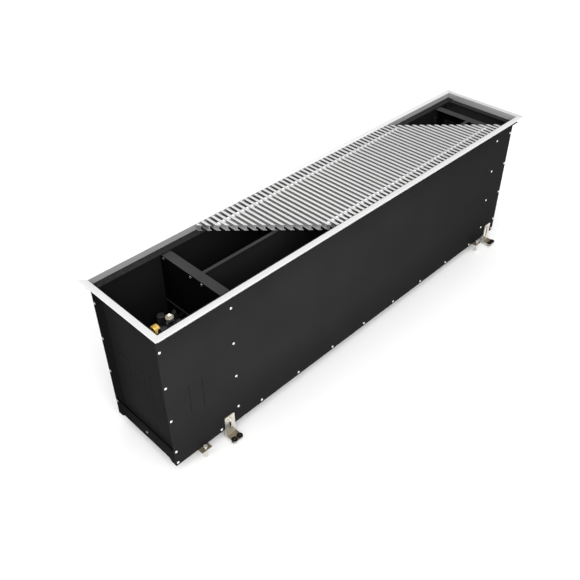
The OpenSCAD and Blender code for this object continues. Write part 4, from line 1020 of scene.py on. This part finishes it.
class HEATER_OT_bracket_screws(bpy.types.Operator):
    """Makes the bolts through the brackets' slots, with their washers and nuts"""

    bl_idname = "heater.bracket_screws"
    bl_label = "Bracket bolts"

    def execute(self, context):
        f = context.scene.heater_feet
        lo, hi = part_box("bracket_bolts")
        z = (lo.z + hi.z) / 2
        washer_face, nut_face = -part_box("bracket_washers")[0].y, -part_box("bracket_nuts")[0].y
        outer, hole, t = f.washer / 2, f.bolt / 2 + CLEARANCE, f.washer_thickness
        c = t * 0.25
        head = hex_solid(f.flats, f.head)
        shank = threaded(f.bolt / 2, f.bracket_bolt_length, f.thread)
        washer = ring([[outer - c, 0], [outer, c], [outer, t - c], [outer - c, t],
                       [hole + c, t], [hole, t - c], [hole, c], [hole + c, 0]])
        nut = hex_solid(f.flats * 0.999, f.nut, True, hole)
        bolts, washers, nuts = Mesh(), Mesh(), Mesh()
        for x in f.brackets:
            for sign, out, back in ((-1, "-Y", "Y"), (1, "Y", "-Y")):
                y = sign * washer_face
                bolts.turned(head, (x, y, z), out).turned(shank, (x, y, z), back)
                washers.turned(washer, (x, y - sign * t, z), out, "joined")
                nuts.turned(nut, (x, sign * nut_face, z), back, "joined")
        for mesh, name, node in ((bolts, "slot_bolts", "bracket_bolts"),
                                 (washers, "slot_washers", "bracket_washers"),
                                 (nuts, "slot_nuts", "bracket_nuts")):
            made = mesh.object(name, "zinc", "base", 32)
            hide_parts(node)
        return {"FINISHED"}


class HEATER_OT_bushes(bpy.types.Operator):
    """Makes the rubber bushes with soft lips, each with a recess and a steel sleeve round its screw hole"""

    bl_idname = "heater.bushes"
    bl_label = "Rubber bushes"

    def execute(self, context):
        f = context.scene.heater_feet
        under, plate, hole = f.bush_under, f.plate, f.bush_hole
        stem, low, rim = f.bush * 0.28 - CLEARANCE, f.bush * 0.47, f.bush / 2
        top, lip = plate + f.bush_height, hole + f.sleeve
        well = top - f.bush_recess
        outline = corner_arcs(
            [[lip, -under], [low, -under], [low, 0], [stem, 0], [stem, plate], [rim, plate],
             [rim, plate + f.bush_height * 0.7], [f.bush * 0.4, top], [hole + 0.0024, top], [lip, well]],
            [0.0003, 0.0010, 0.0004, 0.0002, 0.0002, 0.0004, 0.0010, 0.0010, 0.0008, 0.0004], 4)
        bush = ring(outline, 40)
        sleeve = ring([[hole, -under], [lip, -under], [lip, well + 0.0002],
                       [hole + f.sleeve * 0.6, well + 0.0004], [hole, well + 0.0001]])
        for corner, x, sign in feet(f.brackets):
            body = f"{corner}_foot_bracket"
            rubber_mesh, metal = Mesh(), Mesh()
            for d_x in (-f.bush_pitch / 2, f.bush_pitch / 2):
                spot = (x + d_x, sign * f.bush_y, f.bracket_z)
                rubber_mesh.turned(bush, spot, ends="joined")
                metal.turned(sleeve, spot, ends="joined")
            made = rubber_mesh.object(f"{corner}_rubber", "bush", body, 50)
            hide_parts(f"{corner}_bushes")
            made = metal.object(f"{corner}_sleeves", "dull_zinc", body, 40)
        return {"FINISHED"}


# Valves


class HEATER_OT_unions(bpy.types.Operator):
    """Makes the union nuts with turned corners and a thread cut inside, and the coupling nuts"""

    bl_idname = "heater.unions"
    bl_label = "Union nuts"

    def execute(self, context):
        v = context.scene.heater_valves
        for name, (y, z), finish in (("supply", v.supply, "brass"), ("return", v.back, "gunmetal")):
            lo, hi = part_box(f"{name}_union_nut")
            length = hi.x - lo.x
            mouth = length - v.union_depth
            outside = hex_solid(v.union_flats, length, True, across=v.union_round)
            tooth = v.union_pitch / 2
            t, h = angles(48), np.linspace(length, mouth, 41)[:, None]
            thread = around(v.union_bore + tooth * thread_wave(h, t, v.union_pitch), t, h)
            relief, step = v.union_bore - tooth, mouth - v.collar - 0.0003
            seat = ring([[relief, mouth], [relief, step], [v.union_seat, step], [v.union_seat, 0]], 48)
            nut = np.concatenate([outside, thread, seat])
            mesh = Mesh().turned(nut, (hi.x, y, z), "-X", "joined")
            made = mesh.object(f"{name}_union", finish, "base", 30)
            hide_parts(f"{name}_union_nut")
            lo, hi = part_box(f"{name}_coupling")
            length = hi.x - lo.x
            nut = hex_solid(v.coupling_flats, length, True, v.tube / 2 + 2 * CLEARANCE)
            mesh = Mesh().turned(nut, (lo.x, y, z), "X", "joined")
            made = mesh.object(f"{name}_coupling_nut", "gunmetal", "base", 30)
            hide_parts(f"{name}_coupling")
        return {"FINISHED"}


class HEATER_OT_valve_bodies(bpy.types.Operator):
    """Makes the forged valve bodies: a waisted barrel with a collared tail, a stepped neck and a spindle"""

    bl_idname = "heater.valve_bodies"
    bl_label = "Valve bodies"

    def execute(self, context):
        v = context.scene.heater_valves
        r, bore, w = v.barrel / 2, v.bore / 2, v.spindle / 2
        left, right = v.spindle_x - v.barrel_left, v.spindle_x + v.barrel_right
        length = right - left
        s = np.linspace(0, 1, 25)
        hollow = 0.10 * np.sin(math.pi * s) ** 2 * np.where(s < 0.35, 0, 1)
        groove = 0.12 * np.exp(-((s - 0.97) / 0.03) ** 2)
        waist = np.stack([r * (1 - hollow - groove), s * length], 1).tolist()
        barrel = ring([[r * 0.94, 0.0], *waist, [bore, length], [bore, 0]], 40)
        stem = ring([[w, 0], [w, v.spindle_length - 0.0006], [w - 0.0006, v.spindle_length]], 24)
        for name, (y, z) in (("supply", v.supply), ("return", v.back)):
            lo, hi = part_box(f"{name}_valve_body")
            collar, tail, reach = v.union_bore - 0.001, bore + 0.002, left - lo.x + 0.001
            tail_profile = [[collar, 0], [collar, v.collar], [tail, v.collar + 0.0004], [tail, reach],
                            [bore, reach], [bore, 0]]
            top, foot, neck = hi.z - v.spindle_length, z + r * 0.72, v.barrel * 0.32
            rise = top - foot
            neck_profile = [[neck * 1.18, 0], [neck * 1.02, r * 0.34], [neck * 0.94, rise - 0.0028],
                            [neck, rise - 0.0024], [neck, rise - 0.0004], [neck - 0.0004, rise]]
            mesh = Mesh().turned(barrel, (left, y, z), "X", "joined")
            mesh.turned(ring(tail_profile, 40), (lo.x, y, z), "X", "joined")
            mesh.turned(ring(neck_profile), (v.spindle_x, y, foot))
            mesh.turned(stem, (v.spindle_x, y, top))
            made = mesh.object(f"{name}_valve", "gunmetal", "base", 36)
            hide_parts(f"{name}_valve_body")
        return {"FINISHED"}


class HEATER_OT_valve_caps(bpy.types.Operator):
    """Makes the ribbed plastic cap and the turned nickel cap, each with a hole for its spindle"""

    bl_idname = "heater.valve_caps"
    bl_label = "Valve caps"

    def execute(self, context):
        v = context.scene.heater_valves
        hole = v.spindle / 2 + CLEARANCE
        lo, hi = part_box("supply_valve_cap")
        height, r = hi.z - lo.z, (hi.x - lo.x) / 2
        t = angles(180)
        h = np.array([0, 0.0004, 0.0012, 0.003, 0.30 * height, 0.55 * height, 0.78 * height, 0.88 * height,
                      0.94 * height, 0.98 * height, height, height, height - 0.0006])[:, None]
        shape = np.array([0.94, 0.985, 1.0, 1.0, 0.99, 0.97, 0.95, 0.93,
                          0.88, 0.80, 0.66, 0.40, 0.36])[:, None]
        under_top = np.clip((0.86 * height - h) / 0.002, 0, 1)
        over_foot = np.clip((h - 0.0012) / 0.001, 0, 1)
        flute = 0.075 * (0.5 + 0.5 * np.cos(18 * t)) ** 2.5 * under_top * over_foot
        outside = around(r * shape * (1 - flute), t, h)
        middle = outside[-1:] * [0.02, 0.02, 0] + [0, 0, height - 0.0006]
        well = ring([[hole, v.spindle_length * 0.98], [hole, 0]], 180)
        roof = well[:1] * [0.02, 0.02, 1]
        place = (v.spindle_x, v.supply[0], lo.z)
        mesh = Mesh().turned(outside, place, ends="open")
        for pair in ((outside[-1:], middle), (well[-1:], outside[:1]), (roof, well)):
            mesh.turned(np.concatenate(pair), place, ends="open")
        made = mesh.object("supply_cap", "plastic", "supply_cap", 40)
        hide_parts("supply_valve_cap")

        lo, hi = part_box("return_valve_cap")
        height, r = hi.z - lo.z, (hi.x - lo.x) / 2
        t, low, skirt = angles(240), height - v.head, v.skirt / 2 / r
        h = np.array([0, 0.0006, low - 0.0002, low, low + 0.0006, low + 0.0012, height - 0.0014,
                      height - 0.0008, height - 0.0002, height])[:, None]
        shape = np.array([skirt * 0.95, skirt, skirt, 0.95, 0.99, 1.0, 1.0, 0.985, 0.95, 0.90])[:, None]
        gripped = (h > low + 0.0010) & (h < height - 0.0012)
        knurl = 0.014 * (0.5 + 0.5 * np.cos(60 * t)) * gripped
        outside = around(r * shape * (1 - knurl), t, h)
        dish = ring([[r * share, height - depth] for share, depth in (
            (0.90, 0), (0.82, 0.0004), (0.70, 0.0014), (0.50, 0.0022), (0.28, 0.0026), (0.01, 0.0027))], 240)
        roof = height - 0.0034
        well = ring([[v.spindle / 2 * 0.02, roof], [hole, roof], [hole, 0]], 240)
        place = (v.spindle_x, v.back[0], lo.z)
        mesh = Mesh()
        for part in (outside, dish, well, np.concatenate([well[-1:], outside[:1]])):
            mesh.turned(part, place, ends="open")
        made = mesh.object("return_cap", "cap_nickel", "return_cap", 35)
        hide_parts("return_valve_cap")
        return {"FINISHED"}


# Stage


def floor_material():
    """Pale studio floor with hardly visible clouds."""
    f = Finish("studio_floor", (0.97, 0.97, 0.97), 0.0, 0.7, Specular_IOR_Level=0.2)
    clouds = f.spread(f.noise(0.5, 2))
    f.set("Base Color", f.mix(clouds, (0.965, 0.965, 0.965), (0.975, 0.975, 0.975)))
    return f.material


def light(name, kind, place, target, energy, **settings):
    """Adds a light at a place, turned to its target."""
    data = bpy.data.lights.new(name, kind)
    data.energy = energy
    for key, value in settings.items():
        setattr(data, key, value)
    made = bpy.data.objects.new(name, data)
    bpy.context.scene.collection.objects.link(made)
    made.location = place
    made.rotation_euler = (Vector(target) - Vector(place)).to_track_quat("-Z", "Y").to_euler()


def studio_sky(stage):
    """White sky: an even base, and over it a broad patch as bright as the patch strength times the squared
    cosine of the angle to its middle, which lies in front of the heater, to the left and high up."""
    sky = bpy.data.worlds.new("studio_sky")
    sky.use_nodes = True
    n = Nodes(sky.node_tree)
    way = n.node("ShaderNodeTexCoord").outputs["Generated"]
    cosine = n.maths("MAXIMUM", n.dot(way, Vector(stage.patch_way).normalized()), 0.0)
    patch = n.maths("MULTIPLY", n.maths("MULTIPLY", cosine, cosine), stage.patch)
    background = sky.node_tree.nodes["Background"]
    n.feed(background.inputs[0], (1.0, 1.0, 1.0, 1.0))
    n.feed(background.inputs[1], n.maths("ADD", patch, stage.sky))
    return sky


class HEATER_OT_stage(bpy.types.Operator):
    """Sets the camera, the pale floor and the soft studio light"""

    bl_idname = "heater.stage"
    bl_label = "Stage"

    def execute(self, context):
        scene = context.scene
        c, s = scene.heater_camera, scene.heater_stage
        data = bpy.data.cameras.new("photo_camera")
        camera = bpy.data.objects.new("photo_camera", data)
        scene.collection.objects.link(camera)
        data.sensor_fit = "HORIZONTAL"
        data.sensor_width = 36
        data.lens = c.focal * data.sensor_width
        data.shift_x, data.shift_y = c.shift
        data.clip_start, data.clip_end = 0.01, 60
        roll, tilt = Matrix.Rotation(c.roll, 3, "Y"), Matrix.Rotation(-c.tilt, 3, "X")
        turn = roll @ tilt @ Matrix.Rotation(c.turn, 3, "Z")
        camera.matrix_world = Matrix.Translation(c.place) @ turn.transposed().to_4x4()
        scene.camera = camera
        scene.view_settings.view_transform = "Standard"

        scene.world = studio_sky(s)
        near, far = -s.floor, s.floor
        corners = [(near, near, 0), (far, near, 0), (far, far, 0), (near, far, 0)]
        sheet = bpy.data.meshes.new("floor")
        sheet.from_pydata(corners, [], [[0, 1, 2, 3]])
        sheet.materials.append(floor_material())
        floor = bpy.data.objects.new("floor", sheet)
        scene.collection.objects.link(floor)
        light("key_light", "AREA", s.key_place, s.key_target, s.key_power, shape="RECTANGLE",
              size=s.key_size[0], size_y=s.key_size[1])
        light("valve_light", "SPOT", s.spot_place, s.spot_target, s.spot_power, spot_size=s.spot_angle,
              spot_blend=0.6, shadow_soft_size=0.05)
        return {"FINISHED"}


# Add-on


class HEATER_PT_panel(bpy.types.Panel):
    """Lists the heater's pieces and settings"""

    bl_label = "Trench Heater"
    bl_idname = "HEATER_PT_panel"
    bl_space_type = "VIEW_3D"
    bl_region_type = "UI"
    bl_category = "Trench Heater"

    def draw(self, context):
        for operator in OPERATORS:
            self.layout.operator(operator.bl_idname)
        for name, kind in GROUPS.items():
            box = self.layout.box()
            for key in kind.__annotations__:
                box.prop(getattr(context.scene, name), key)


GROUPS = {
    "heater_sizes": HeaterSizes, "heater_grille": HeaterGrille, "heater_rivets": HeaterRivets,
    "heater_feet": HeaterFeet, "heater_valves": HeaterValves, "heater_colours": HeaterColours,
    "heater_camera": HeaterCamera, "heater_stage": HeaterStage,
}
OPERATORS = (
    HEATER_OT_finishes, HEATER_OT_frame, HEATER_OT_slats, HEATER_OT_sleeves, HEATER_OT_strips,
    HEATER_OT_rivets, HEATER_OT_levelling, HEATER_OT_bracket_screws, HEATER_OT_bushes,
    HEATER_OT_unions, HEATER_OT_valve_bodies, HEATER_OT_valve_caps, HEATER_OT_stage,
)
CLASSES = (*GROUPS.values(), *OPERATORS, HEATER_PT_panel)


def register():
    for made in CLASSES:
        bpy.utils.register_class(made)
    for name, group in GROUPS.items():
        setattr(bpy.types.Scene, name, bpy.props.PointerProperty(type=group))


def unregister():
    for name in GROUPS:
        delattr(bpy.types.Scene, name)
    for made in reversed(CLASSES):
        bpy.utils.unregister_class(made)


def main():
    register()
    for operator in OPERATORS:
        group, name = operator.bl_idname.split(".")
        getattr(getattr(bpy.ops, group), name)()


if __name__ == "__main__":
    main()
